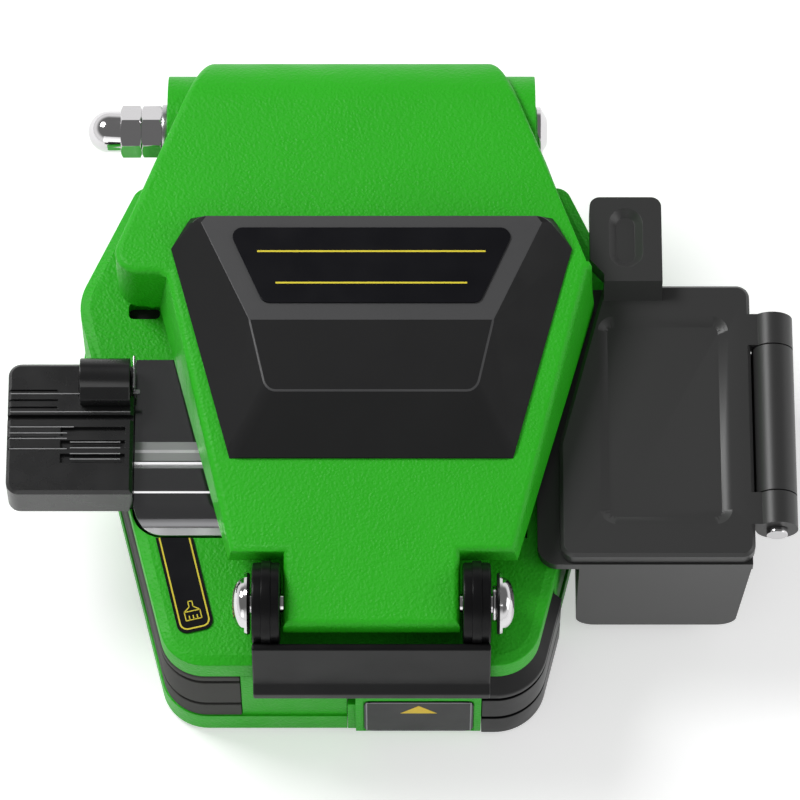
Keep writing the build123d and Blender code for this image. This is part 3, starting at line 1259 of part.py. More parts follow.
with BuildPart() as latch_screws:
    for face_x, way in ((washer_left_x - latch_washer, -1), (washer_right_x + latch_washer, 1)):
        turned([(face_x, 0), (face_x, latch_head_r), (face_x + way * latch_head * 0.5, latch_head_r - 0.3),
                (face_x + way * latch_head, latch_head_r * 0.6), (face_x + way * latch_head, 1.4),
                (face_x + way * (latch_head - 0.9), 1.4), (face_x + way * (latch_head - 0.9), 0)], latch_y, latch_z)
        inner_x, outer_x = sorted((face_x - way * latch_screw_bite, face_x + way * 0.1))
        rod(latch_screw_r, inner_x, outer_x, latch_y, latch_z)
finish(latch_screws, "latch_screws")

with BuildPart() as latch_bail:
    for x in (latch_arm_left_x, latch_arm_right_x - latch_arm_width):
        rod(latch_arm_r, x, x + latch_arm_width, latch_y, latch_z)
    side_profile([(front_y + y, z) for y, z in latch_bar_profile], latch_arm_left_x, latch_arm_right_x)
    rod(latch_shaft_r + 0.06, latch_arm_left_x - 1, latch_arm_right_x + 1, latch_y, latch_z, mode=Mode.SUBTRACT)
finish(latch_bail, "latch_bail")
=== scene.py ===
"""Dressed model of a bench-top fibre cleaver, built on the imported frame.

Lengths are in metres in the frame's own axes: +X along the fibre, +Y towards the lid's hinge, +Z up.
"""
import json
import logging
import math
from dataclasses import dataclass
from enum import Enum
from typing import Callable, Iterable, Optional, Sequence

import bmesh
import bpy
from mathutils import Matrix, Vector


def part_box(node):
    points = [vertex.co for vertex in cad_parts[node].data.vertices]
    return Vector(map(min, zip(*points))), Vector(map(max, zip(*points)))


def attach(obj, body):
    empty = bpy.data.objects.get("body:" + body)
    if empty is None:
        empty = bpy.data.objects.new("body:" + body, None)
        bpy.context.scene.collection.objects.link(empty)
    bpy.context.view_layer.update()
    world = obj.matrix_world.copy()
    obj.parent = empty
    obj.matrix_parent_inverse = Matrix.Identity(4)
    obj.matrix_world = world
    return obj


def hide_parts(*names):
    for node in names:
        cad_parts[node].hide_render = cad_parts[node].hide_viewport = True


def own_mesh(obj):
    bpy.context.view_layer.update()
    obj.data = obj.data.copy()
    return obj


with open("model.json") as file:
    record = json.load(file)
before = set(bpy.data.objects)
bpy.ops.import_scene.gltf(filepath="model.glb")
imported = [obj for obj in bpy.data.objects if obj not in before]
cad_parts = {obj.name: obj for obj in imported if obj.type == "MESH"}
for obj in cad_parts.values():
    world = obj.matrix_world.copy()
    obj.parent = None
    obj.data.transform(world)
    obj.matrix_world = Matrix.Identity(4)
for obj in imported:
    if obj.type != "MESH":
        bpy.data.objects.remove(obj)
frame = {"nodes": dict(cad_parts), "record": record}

MM = 0.001
WELD = 0.002 * MM
Point = tuple[float, float, float]
Colour = tuple[float, float, float]
log = logging.getLogger("cleaver")


class Grain(Enum):
    """Kinds of surface that the tool has."""

    MOULDED = "moulded"
    SATIN = "satin"
    RUBBER = "rubber"
    BRUSHED = "brushed"
    POLISHED = "polished"
    FILM = "film"


class NodeSheet:
    """A material's node tree, with short calls for adding and joining nodes."""

    def __init__(self, name: str) -> None:
        """Start an empty material.

        Args:
            name: Name of the new material.
        """
        self.material = bpy.data.materials.new(name)
        self.material.use_nodes = True
        self.tree = self.material.node_tree
        self.tree.nodes.clear()
        self.shader = self.tree.nodes.new("ShaderNodeBsdfPrincipled")
        output = self.tree.nodes.new("ShaderNodeOutputMaterial")
        self.join(self.shader.outputs["BSDF"], output.inputs["Surface"])

    def node(self, kind: str, **values: object) -> bpy.types.Node:
        """Add a node and set its properties.

        Args:
            kind: Blender's node type.
            **values: Properties of the node.

        Returns:
            The new node.
        """
        made = self.tree.nodes.new(kind)
        for key, value in values.items():
            setattr(made, key, value)
        return made

    def join(self, source: bpy.types.NodeSocket, target: bpy.types.NodeSocket) -> None:
        """Link one socket to another.

        Args:
            source: Output socket.
            target: Input socket.
        """
        self.tree.links.new(source, target)

    def place(self, stretch: Point = (1.0, 1.0, 1.0)) -> bpy.types.NodeSocket:
        """Object coordinates, stretched along each axis.

        Args:
            stretch: Factor along x, y and z.

        Returns:
            The vector socket.
        """
        source = self.node("ShaderNodeTexCoord")
        mapping = self.node("ShaderNodeMapping")
        mapping.inputs["Scale"].default_value = stretch
        self.join(source.outputs["Object"], mapping.inputs["Vector"])
        return mapping.outputs["Vector"]

    def noise(self, place: bpy.types.NodeSocket, size: float, detail: float = 3.0) -> bpy.types.NodeSocket:
        """Soft random shade.

        Args:
            place: Coordinates.
            size: Size of the spots in metres.
            detail: Number of finer layers.

        Returns:
            The shade's socket, from 0 to 1.
        """
        made = self.node("ShaderNodeTexNoise")
        made.inputs["Scale"].default_value = 1.0 / size
        made.inputs["Detail"].default_value = detail
        self.join(place, made.inputs["Vector"])
        return made.outputs["Fac"]

    def cells(self, place: bpy.types.NodeSocket, size: float) -> bpy.types.NodeSocket:
        """Distance to the nearest of many scattered points.

        Args:
            place: Coordinates.
            size: Size of a cell in metres.

        Returns:
            The distance's socket.
        """
        made = self.node("ShaderNodeTexVoronoi", feature="SMOOTH_F1")
        made.inputs["Scale"].default_value = 1.0 / size
        made.inputs["Smoothness"].default_value = 0.6
        self.join(place, made.inputs["Vector"])
        return made.outputs["Distance"]

    def spread(self, source: bpy.types.NodeSocket, low: float, high: float,
               start: float = 0.3, end: float = 0.7) -> bpy.types.NodeSocket:
        """Map a shade to a range.

        Args:
            source: Shade to map.
            low: Value at the start.
            high: Value at the end.
            start: Shade that gives low.
            end: Shade that gives high.

        Returns:
            The mapped socket.
        """
        made = self.node("ShaderNodeMapRange")
        made.inputs["From Min"].default_value = start
        made.inputs["From Max"].default_value = end
        made.inputs["To Min"].default_value = low
        made.inputs["To Max"].default_value = high
        self.join(source, made.inputs["Value"])
        return made.outputs["Result"]

    def blend(self, share: bpy.types.NodeSocket, first: object, second: object) -> bpy.types.NodeSocket:
        """Mix two colours, each a colour or a socket.

        Args:
            share: How much of the second shows.
            first: Colour or socket.
            second: Colour or socket.

        Returns:
            The mixed colour's socket.
        """
        made = self.node("ShaderNodeMix", data_type="RGBA")
        self.join(share, made.inputs["Factor"])
        for key, value in (("A", first), ("B", second)):
            target = [socket for socket in made.inputs if socket.name == key and socket.type == "RGBA"][0]
            if isinstance(value, bpy.types.NodeSocket):
                self.join(value, target)
            else:
                target.default_value = (*value, 1.0)
        return [socket for socket in made.outputs if socket.type == "RGBA"][0]

    def total(self, first: bpy.types.NodeSocket, second: bpy.types.NodeSocket, weight: float) -> bpy.types.NodeSocket:
        """Add a weighted shade to another.

        Args:
            first: First shade.
            second: Second shade.
            weight: Factor of the second.

        Returns:
            The sum's socket.
        """
        made = self.node("ShaderNodeMath", operation="MULTIPLY_ADD")
        self.join(second, made.inputs[0])
        made.inputs[1].default_value = weight
        self.join(first, made.inputs[2])
        return made.outputs[0]

    def relief(self, height: bpy.types.NodeSocket, strength: float, depth: float) -> None:
        """Drive the surface's bump.

        Args:
            height: Height shade.
            strength: Share of the full bump.
            depth: Height of the full bump in metres.
        """
        made = self.node("ShaderNodeBump")
        made.inputs["Strength"].default_value = strength
        made.inputs["Distance"].default_value = depth
        self.join(height, made.inputs["Height"])
        self.join(made.outputs["Normal"], self.shader.inputs["Normal"])


@dataclass(frozen=True)
class Finish:
    """One surface finish.

    Attributes:
        name: Name of the material.
        colour: Linear base colour.
        grain: Kind of surface.
        roughness: Middle roughness.
        metallic: 1 for bare metal.
        shade: How far the colour varies.
        cell: Size of the grain in metres.
        depth: Height of the grain in metres.
        specular: Strength of the plain reflection.
        along: Axis that brushed lines run along, 0 to 2.
    """

    name: str
    colour: Colour
    grain: Grain
    roughness: float
    metallic: float = 0.0
    shade: float = 0.1
    cell: float = 0.6 * MM
    depth: float = 0.05 * MM
    specular: float = 0.5
    along: int = 0

    def tone(self, factor: float) -> Colour:
        """The base colour, lighter or darker.

        Args:
            factor: 1 leaves it as it is.

        Returns:
            The new colour.
        """
        return tuple(min(1.0, part * factor) for part in self.colour)

    def heights(self, sheet: NodeSheet) -> bpy.types.NodeSocket:
        """The grain's height field.

        Args:
            sheet: Material that is being made.

        Returns:
            The height's socket.
        """
        if self.grain is Grain.MOULDED:
            place = sheet.place()
            return sheet.total(sheet.cells(place, self.cell), sheet.noise(place, self.cell * 0.7, 2.0), 0.9)
        if self.grain in (Grain.BRUSHED, Grain.POLISHED):
            stretch = [1.0, 1.0, 1.0]
            stretch[self.along] = 0.04
            return sheet.noise(sheet.place(tuple(stretch)), self.cell, 4.0)
        return sheet.noise(sheet.place(), self.cell, 5.0)

    def material(self) -> bpy.types.Material:
        """Make the material once and return it.

        Returns:
            The finish's material.
        """
        known = bpy.data.materials.get(self.name)
        if known:
            return known
        sheet = NodeSheet(self.name)
        shader = sheet.shader
        shader.inputs["Metallic"].default_value = self.metallic
        shader.inputs["Specular IOR Level"].default_value = self.specular
        height = self.heights(sheet)
        cloud = sheet.noise(sheet.place(), 14 * MM, 3.0)
        tint = sheet.blend(sheet.spread(cloud, 0.0, 1.0), self.tone(1 - self.shade), self.tone(1 + self.shade))
        fine = sheet.spread(height, 0.0, 1.0, 0.2, 0.9)
        tint = sheet.blend(sheet.spread(fine, 0.0, 0.35, 0.0, 1.0), tint, self.tone(1 + 1.5 * self.shade))
        sheet.join(tint, shader.inputs["Base Color"])
        patch = sheet.noise(sheet.place(), 5 * MM, 4.0)
        rough = sheet.spread(patch, self.roughness * 0.88, min(1.0, self.roughness * 1.12))
        sheet.join(rough, shader.inputs["Roughness"])
        sheet.relief(height, 0.6, self.depth)
        return sheet.material


GREEN = Finish("green_moulded", (0.022, 0.47, 0.009), Grain.MOULDED, 0.5, shade=0.04, cell=0.52 * MM,
               depth=0.13 * MM, specular=0.3)
BLACK = Finish("black_plastic", (0.0085, 0.0085, 0.009), Grain.SATIN, 0.45, shade=0.06, cell=0.3 * MM,
               depth=0.012 * MM, specular=0.2)
# Painted highlight: a lighter black for the pad's upper facet, where light from above falls on it.
PAD_TOP_HIGHLIGHT = Finish("pad_top_painted_highlight", (0.05, 0.05, 0.052), Grain.SATIN, 0.55, shade=0.05, cell=0.3 * MM,
                     depth=0.012 * MM)
PAD_BLACK = Finish("pad_black", (0.018, 0.018, 0.0185), Grain.SATIN, 0.5, shade=0.06, cell=0.3 * MM,
                   depth=0.012 * MM, specular=0.1)
# Painted highlight: a lighter black for the pad's rounded rims.
PAD_RIM_HIGHLIGHT = Finish("pad_rim_painted_highlight", (0.055, 0.055, 0.057), Grain.SATIN, 0.4, shade=0.1, cell=0.3 * MM, depth=0.012 * MM)
BLACK_SOFT = Finish("black_carriage", (0.005, 0.005, 0.0055), Grain.SATIN, 0.34, shade=0.06, cell=0.4 * MM,
                    depth=0.010 * MM, specular=0.16)
BAND = Finish("band_rubber", (0.026, 0.026, 0.023), Grain.RUBBER, 0.55, shade=0.08, cell=0.5 * MM, depth=0.015 * MM)
MAT = Finish("mat_rubber", (0.02, 0.02, 0.02), Grain.RUBBER, 0.8, shade=0.15, cell=0.8 * MM, depth=0.05 * MM)
PAD_RUBBER = Finish("clamp_rubber", (0.03, 0.03, 0.032), Grain.RUBBER, 0.7, shade=0.1, cell=0.3 * MM, depth=0.02 * MM)
LABEL = Finish("label_film", (0.004, 0.004, 0.006), Grain.FILM, 0.32, shade=0.05, cell=1.6 * MM, depth=0.002 * MM,
               specular=0.2)
INK = Finish("label_ink", (0.80, 0.66, 0.03), Grain.FILM, 0.5, shade=0.03, cell=0.4 * MM, depth=0.002 * MM)
ARROW = Finish("arrow_ink", (0.95, 0.66, 0.02), Grain.FILM, 0.5, shade=0.03, cell=0.4 * MM, depth=0.002 * MM)
RIM_INK = Finish("label_rim_ink", (0.30, 0.30, 0.32), Grain.FILM, 0.5, shade=0.03, cell=0.4 * MM, depth=0.002 * MM)
DARK = Finish("black_anodised", (0.010, 0.010, 0.0105), Grain.BRUSHED, 0.28, metallic=0.0, shade=0.04, cell=0.5 * MM,
              depth=0.003 * MM, specular=0.5)
MIRROR = Finish("platform_metal", (0.17, 0.17, 0.175), Grain.BRUSHED, 0.14, metallic=0.95, shade=0.03, cell=0.6 * MM,
                depth=0.0015 * MM)
# Pale metal that paints bright reflection lines on the platform's grooves, step, lip and side, and on one strip.
REFLECTION_METAL = Finish("painted_reflection_metal", (0.85, 0.85, 0.86), Grain.POLISHED, 0.3, metallic=1.0, shade=0.02, cell=0.6 * MM,
                depth=0.001 * MM)
# Lighter metal for painted sheen bands on the platform and painted highlight lines on the holder's top.
SHEEN_BAND = Finish("painted_sheen_band", (0.30, 0.30, 0.305), Grain.BRUSHED, 0.35, metallic=0.3, shade=0.03, cell=0.5 * MM,
                depth=0.002 * MM)
ALUMINIUM = Finish("satin_aluminium", (0.62, 0.62, 0.64), Grain.BRUSHED, 0.32, metallic=1.0, shade=0.04, along=1,
                   cell=0.4 * MM, depth=0.006 * MM)
STEEL = Finish("brushed_steel", (0.5, 0.5, 0.51), Grain.BRUSHED, 0.26, metallic=1.0, shade=0.05, cell=0.35 * MM,
               depth=0.004 * MM)
BLADE = Finish("blade_carbide", (0.32, 0.32, 0.34), Grain.BRUSHED, 0.2, metallic=1.0, shade=0.05, along=1,
               cell=0.2 * MM, depth=0.003 * MM)
CHROME = Finish("chromed", (0.66, 0.65, 0.66), Grain.POLISHED, 0.09, metallic=1.0, shade=0.02, cell=0.6 * MM,
                depth=0.001 * MM)
PLATE = Finish("plate_paint", (0.03, 0.03, 0.03), Grain.SATIN, 0.5, shade=0.08, cell=0.5 * MM, depth=0.03 * MM)

NODE_FINISHES: dict[str, Finish] = {
    "base_lower_shell": GREEN, "base_upper_shell": GREEN, "grip_band": BAND, "bottom_plate": PLATE, "foot_mat": MAT,
    "plate_screws": STEEL, "platform_left": MIRROR, "platform_right": MIRROR, "lower_pad_left": PAD_RUBBER,
    "lower_pad_right": PAD_RUBBER, "platform_screws": STEEL, "slide_rail": STEEL, "rail_screws": STEEL,
    "fibre_holder": DARK, "holder_dowels": STEEL, "clamp_pin": CHROME, "holder_clamp": DARK, "side_label": LABEL,
    "hinge_axle": CHROME, "axle_washer": STEEL, "jam_nut": CHROME, "acorn_nut": CHROME, "bin_body": BLACK,
    "bin_screws": STEEL, "bin_lid": BLACK, "bin_hinge_pin": CHROME, "slider_block": ALUMINIUM,
    "carriage_frame": BLACK_SOFT, "push_cap": GREEN, "push_label": LABEL, "carriage_grip": BLACK_SOFT,
    "blade_bracket": STEEL, "bracket_screws": STEEL, "blade_wheel": BLADE, "blade_screw": STEEL, "lid_shell": GREEN,
    "lid_pad": PAD_BLACK, "lid_label": LABEL, "clamp_carrier": BLACK, "carrier_screws": STEEL,
    "upper_clamp_left": ALUMINIUM, "upper_clamp_right": ALUMINIUM, "upper_pad_left": PAD_RUBBER,
    "upper_pad_right": PAD_RUBBER, "anvil": STEEL, "anvil_spring": STEEL, "latch_shaft": CHROME,
    "latch_washers": CHROME, "latch_screws": CHROME, "latch_bail": BLACK_SOFT,
}

EdgeTest = Callable[[bmesh.types.BMEdge], bool]


@dataclass(frozen=True)
class Rounding:
    """Which edges of a copy are rounded, and how far.

    Attributes:
        radius: Radius in metres.
        chosen: Test that an edge has to pass.
        steps: Number of facets across the rounding.
        least: Least turn at an edge, in degrees.
        clamped: Whether short edges may hold the radius back.
        slot: Material slot of the rounding's faces, or -1 for that of the faces beside them.
    """

    radius: float
    chosen: EdgeTest
    steps: int = 4
    least: float = 28.0
    clamped: bool = True
    slot: int = -1


def middle(edge: bmesh.types.BMEdge) -> Vector:
    """Middle of an edge.

    Args:
        edge: The edge.

    Returns:
        Its middle.
    """
    return (edge.verts[0].co + edge.verts[1].co) / 2


def sharp(edge: bmesh.types.BMEdge, degrees: float = 28.0) -> bool:
    """Whether two faces meet at an edge and turn by more than an angle.

    Args:
        edge: The edge.
        degrees: The least turn.

    Returns:
        True for such an edge.
    """
    return len(edge.link_faces) == 2 and edge.calc_face_angle(0.0) > math.radians(degrees)


class DressedNode:
    """A copy of a CAD node with soft edges, shown in place of the plain one."""

    def __init__(self, node: str, roundings: Sequence[Rounding], nudges: Sequence[tuple[Point, Point]] = (),
                 trim_above: Optional[float] = None, widen: Optional[Callable[[Vector], float]] = None) -> None:
        """Remember what to copy.

        Args:
            node: Name of the CAD node.
            roundings: Roundings, made in this order.
            nudges: Corners to move: where each is and where it goes, in millimetres.
            trim_above: Height in metres above which the copy is cut away.
            widen: How far a corner moves along x, in metres.
        """
        self.node = node
        self.roundings = roundings
        self.nudges = nudges
        self.trim_above = trim_above
        self.widen = widen
        self.finish = NODE_FINISHES[node]

    def prepare(self, form: bmesh.types.BMesh) -> None:
        """Trim the copy and move its corners.

        Args:
            form: The copy.
        """
        if self.trim_above is not None:
            whole = list(form.verts) + list(form.edges) + list(form.faces)
            bmesh.ops.bisect_plane(form, geom=whole, plane_co=(0, 0, self.trim_above), plane_no=(0, 0, 1),
                                   clear_outer=True)
            bmesh.ops.holes_fill(form, edges=[edge for edge in form.edges if edge.is_boundary])
        if self.widen is not None:
            for corner in form.verts:
                corner.co.x += self.widen(corner.co)
        for start, end in self.nudges:
            spot = Vector(start) * MM
            for corner in form.verts:
                if (corner.co - spot).length < 0.06 * MM:
                    corner.co = Vector(end) * MM

    def build(self) -> bpy.types.Object:
        """Copy the node, round its edges and show the copy in its place.

        Returns:
            The new object.
        """
        source = frame["nodes"][self.node]
        form = bmesh.new()
        form.from_mesh(source.data)
        form.transform(source.matrix_world)
        bmesh.ops.remove_doubles(form, verts=form.verts, dist=WELD)
        bmesh.ops.dissolve_limit(form, angle_limit=math.radians(0.8), verts=form.verts, edges=form.edges)
        self.prepare(form)
        for rounding in self.roundings:
            edges = [edge for edge in form.edges if sharp(edge, rounding.least) and rounding.chosen(edge)]
            log.info("%s: %d edges rounded by %.2f mm", self.node, len(edges), rounding.radius / MM)
            if edges:
                bmesh.ops.bevel(form, geom=edges, offset=rounding.radius, segments=rounding.steps, profile=0.5,
                                affect="EDGES", clamp_overlap=rounding.clamped, material=rounding.slot)
        mesh = bpy.data.meshes.new(self.node + "_soft")
        form.to_mesh(mesh)
        form.free()
        made = bpy.data.objects.new(self.node + "_soft", mesh)
        bpy.context.scene.collection.objects.link(made)
        mesh.materials.append(self.finish.material())
        smooth(made)
        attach(made, body_name(self.node))
        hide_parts(self.node)
        return made


def body_name(node: str) -> str:
    """Name of the CAD body that a node belongs to.

    Args:
        node: Name of the node.

    Returns:
        Name of the body.
    """
    for body, nodes in frame["record"]["behaviour"]["bodies"].items():
        if node in nodes:
            return body
    raise KeyError(node)


def smooth(made: bpy.types.Object, degrees: float = 32.0) -> None:
    """Shade a mesh smooth, with its sharp edges kept.

    Args:
        made: Object to shade.
        degrees: Turn above which an edge stays sharp.
    """
    mesh = made.data
    for face in mesh.polygons:
        face.use_smooth = True
    mesh.set_sharp_from_angle(angle=math.radians(degrees))
    even = made.modifiers.new("even", "WEIGHTED_NORMAL")
    even.keep_sharp = True
    even.weight = 80


def add_piece(name: str, form: bmesh.types.BMesh, finish: Finish, body: str, degrees: float = 32.0) -> bpy.types.Object:
    """Turn a finished form into a shown piece that rides on a body.

    Args:
        name: Name of the piece.
        form: Its mesh, which is freed.
        finish: Its finish.
        body: Name of the CAD body.
        degrees: Turn above which an edge stays sharp.

    Returns:
        The new object.
    """
    mesh = bpy.data.meshes.new(name)
    form.to_mesh(mesh)
    form.free()
    made = bpy.data.objects.new(name, mesh)
    bpy.context.scene.collection.objects.link(made)
    mesh.materials.append(finish.material())
    smooth(made, degrees)
    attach(made, body)
    return made


def spin(form: bmesh.types.BMesh, outline: Sequence[tuple[float, float]], y: float, z: float,
         steps: int = 72) -> list[bmesh.types.BMFace]:
    """Turn a closed outline of (x, radius) points about an axis along x.

    Args:
        form: Mesh to add to.
        outline: Points in millimetres.
        y: Place of the axis in millimetres.
        z: Height of the axis in millimetres.
        steps: Number of facets round the axis.

    Returns:
        The new faces.
    """
    rings = []
    for x, radius in outline:
        rings.append([form.verts.new(Vector((x, y + radius * math.cos(math.tau * k / steps),
                                             z + radius * math.sin(math.tau * k / steps))) * MM)
                      for k in range(steps)])
    faces = []
    for first, second in zip(rings, rings[1:] + rings[:1]):
        for k in range(steps):
            after = (k + 1) % steps
            faces.append(form.faces.new((first[k], first[after], second[after], second[k])))
    return faces


def tidy(form: bmesh.types.BMesh) -> None:
    """Join doubled corners and turn every face outwards.

    Args:
        form: Mesh to tidy.
    """
    bmesh.ops.remove_doubles(form, verts=form.verts, dist=0.001 * MM)
    bmesh.ops.dissolve_degenerate(form, edges=form.edges, dist=0.0005 * MM)
    bmesh.ops.recalc_face_normals(form, faces=form.faces)


def prism(form: bmesh.types.BMesh, first: Sequence[Vector], second: Sequence[Vector]) -> None:
    """Add a closed form between two outlines of as many corners.

    Args:
        form: Mesh to add to.
        first: Corners of one end in metres.
        second: Corners of the other end.
    """
    ends = [[form.verts.new(spot) for spot in outline] for outline in (first, second)]
    form.faces.new(ends[0])
    form.faces.new(list(reversed(ends[1])))
    for k in range(len(ends[0])):
        after = (k + 1) % len(ends[0])
        form.faces.new((ends[0][k], ends[1][k], ends[1][after], ends[0][after]))


def bar(form: bmesh.types.BMesh, section: Sequence[tuple[float, float]], x0: float, x1: float) -> None:
    """Add a straight bar along x.

    Args:
        form: Mesh to add to.
        section: Its (y, z) outline in millimetres.
        x0: Left end in millimetres.
        x1: Right end in millimetres.
    """
    prism(form, *([Vector((x, y, z)) * MM for y, z in section] for x in (x0, x1)))


def slab(form: bmesh.types.BMesh, low: Point, high: Point) -> None:
    """Add a box.

    Args:
        form: Mesh to add to.
        low: Lowest corner in millimetres.
        high: Highest corner in millimetres.
    """
    bar(form, ((low[1], low[2]), (high[1], low[2]), (high[1], high[2]), (low[1], high[2])), low[0], high[0])


def soften(form: bmesh.types.BMesh, radius: float, chosen: EdgeTest, steps: int = 3) -> None:
    """Round the sharp edges of a form that pass a test.

    Args:
        form: Mesh to change.
        radius: Radius in metres.
        chosen: Test that an edge has to pass.
        steps: Number of facets across the rounding.
    """
    edges = [edge for edge in form.edges if sharp(edge) and chosen(edge)]
    bmesh.ops.bevel(form, geom=edges, offset=radius, segments=steps, profile=0.5, affect="EDGES", clamp_overlap=True)


def dress_plain_nodes(taken: Iterable[str]) -> None:
    """Give every CAD node that isn't replaced its finish and fine edge rounding.

    Args:
        taken: Nodes that have a dressed copy.
    """
    for node, finish in NODE_FINISHES.items():
        if node in taken:
            continue
        shown = frame["nodes"][node]
        shown.data.materials.clear()
        shown.data.materials.append(finish.material())
        weld = shown.modifiers.new("weld", "WELD")
        weld.merge_threshold = WELD
        soft = shown.modifiers.new("soft", "BEVEL")
        soft.width = 0.15 * MM
        soft.segments = 2
        soft.limit_method = "ANGLE"
        soft.angle_limit = math.radians(35)
        soft.harden_normals = False
        even = shown.modifiers.new("even", "WEIGHTED_NORMAL")
        even.keep_sharp = True


class Base:
    """The green base: its two shells, the grip band and the carriage's grip."""

    crisp: float = 0.2 * MM
    bend: float = 0.6 * MM
    seam: float = 0.06 * MM
    ear: float = 0.45 * MM
    band: float = 0.3 * MM

    def build(self) -> list[str]:
        """Dress the shells and the rubber parts.

        Returns:
            Names of the nodes that were replaced.
        """
        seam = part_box("base_upper_shell")[0].z
        rim = seam + 4.5 * MM
        deck = seam + 5.0 * MM
        at = lambda height, edge: abs(middle(edge).z - height) < 0.05 * MM
        DressedNode("base_upper_shell", [
            Rounding(self.bend, lambda edge: at(deck, edge) and edge.calc_face_angle(0.0) < math.radians(28), 4, 12.0),
            Rounding(self.crisp, lambda edge: at(rim, edge), 3),
            Rounding(self.ear, lambda edge: middle(edge).z > deck + 0.3 * MM),
            Rounding(self.seam, lambda edge: middle(edge).z < seam + 0.2 * MM, 1),
            Rounding(0.25 * MM, lambda edge: at(deck, edge), 2),
        ]).build()
        DressedNode("base_lower_shell", [Rounding(self.seam, lambda edge: True, 1)]).build()
        DressedNode("grip_band", [Rounding(self.band, lambda edge: at(seam, edge), 3),
                                  Rounding(0.15 * MM, lambda edge: not at(seam, edge), 2)]).build()
        DressedNode("carriage_grip", [Rounding(0.3 * MM, lambda edge: middle(edge).z > 16.0 * MM, 3, 15.0),
                                      Rounding(0.15 * MM, lambda edge: middle(edge).z < 16.0 * MM, 2)]).build()
        DressedNode("push_cap", [Rounding(0.3 * MM, lambda edge: True, 3)]).build()
        return ["base_upper_shell", "base_lower_shell", "grip_band", "carriage_grip", "push_cap"]


class ToolLid:
    """The green lid with its faceted pad."""

    top_radius: float = 1.1 * MM
    foot_radius: float = 0.35 * MM
    pad_corner: float = 1.2 * MM
    pad_toe: float = 2.6 * MM
    pad_rim: float = 0.17 * MM
    pad_spread: float = 0.06
    crease_span: tuple[float, float] = (-11.0 * MM, 3.0 * MM)
    hinge: tuple[float, float] = (40.8 * MM, 31.0 * MM)
    skin: float = 10.5 * MM
    inner_corner: tuple[tuple[Point, Point], ...] = (
        ((-31.334, 11.77, 41.377), (-31.0, 11.8, 41.38)),
        ((-30.917, 11.679, 41.368), (-30.0, 11.8, 41.38)),
        ((-30.516, 11.53, 41.353), (-29.0, 11.75, 41.375)),
        ((-27.856, 12.174, 41.417), (-27.78, 11.5, 41.35)),
        ((36.94, 12.72, 41.47), (36.62, 12.84, 41.484)),
        ((37.04, 12.43, 41.44), (36.41, 12.68, 41.468)),
        ((37.10, 12.14, 41.41), (36.19, 12.53, 41.453)),
        ((37.14, 11.84, 41.38), (35.98, 12.37, 41.437)),
    )

    def build(self) -> list[str]:
        """Dress the lid and its pad.

        Returns:
            Names of the nodes that were replaced.
        """
        self.shell()
        self.pad()
        return ["lid_shell", "lid_pad"]

    def roof_height(self, y: float) -> float:
        """Height of the lid's top at a distance along the lid.

        Args:
            y: The distance.

        Returns:
            The height.
        """
        crease = 13.0 * MM
        return 41.5 * MM - 0.1 * max(0.0, crease - y)

    def on_roof(self, edge: bmesh.types.BMEdge) -> bool:
        """Whether an edge bounds the lid's top or its rolled back.

        Args:
            edge: The edge.

        Returns:
            True for such an edge.
        """
        for corner in edge.verts:
            y, z = corner.co.y, corner.co.z
            if y > self.hinge[0]:
                off = abs(math.hypot(y - self.hinge[0], z - self.hinge[1]) - self.skin)
            else:
                off = abs(z - self.roof_height(y))
            if off > 0.05 * MM:
                return False
        return True

    def shell(self) -> bpy.types.Object:
        """Round the lid's edges.

        Returns:
            The lid's object.
        """
        return DressedNode("lid_shell", [
            Rounding(self.top_radius, self.on_roof, 6, clamped=False),
            Rounding(self.foot_radius, lambda edge: middle(edge).z < 36.5 * MM, 3),
        ], self.inner_corner).build()

    def pad(self) -> bpy.types.Object:
        """Round the pad's edges, and paint highlights in lighter black on its upper facet and its rims.

        Returns:
            The pad's object.
        """
        rise = lambda corner: corner.co.z - self.roof_height(corner.co.y)
        steep = lambda edge: (abs(rise(edge.verts[0]) - rise(edge.verts[1])) > 3.0 * MM
                              and not -5.0 * MM < min(corner.co.y for corner in edge.verts) < 16.5 * MM
                              and not abs(max(corner.co.y for corner in edge.verts) - 2.0 * MM) < 1.0 * MM)
        toe = lambda edge: (min(corner.co.y for corner in edge.verts) < -16.0 * MM
                            and abs(rise(edge.verts[0]) - rise(edge.verts[1])) > 0.2 * MM)
        upper = lambda edge: min(rise(edge.verts[0]), rise(edge.verts[1])) > 0.9 * MM
        front, rear = self.crease_span
        crease = lambda edge: upper(edge) and front < middle(edge).y < rear
        back = lambda edge: upper(edge) and middle(edge).y > rear
        low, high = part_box("lid_pad")
        centre = (low.x + high.x) / 2
        spread = lambda spot: ((spot.x - centre) * self.pad_spread
                               if spot.z - self.roof_height(spot.y) < 1.6 * MM else 0.0)
        made = DressedNode("lid_pad", [
            Rounding(self.pad_corner, steep, 5, 10.0),
            Rounding(self.pad_toe, toe, 6, 8.0),
            # Painted highlight: the rims' rounding faces take the lighter black in slot 2.
            Rounding(self.pad_rim, crease, 3, 9.0, clamped=False, slot=2),
            Rounding(self.pad_rim, back, 3, slot=2),
        ], widen=spread).build()
        made.data.materials.append(PAD_TOP_HIGHLIGHT.material())
        made.data.materials.append(PAD_RIM_HIGHLIGHT.material())
        # Painted highlight: the upper facet's faces take the lighter black in slot 1.
        for face in made.data.polygons:
            if face.normal.z > 0.995 and face.center.y > 1.0 * MM and face.center.z > 44.5 * MM:
                face.material_index = 1
        return made


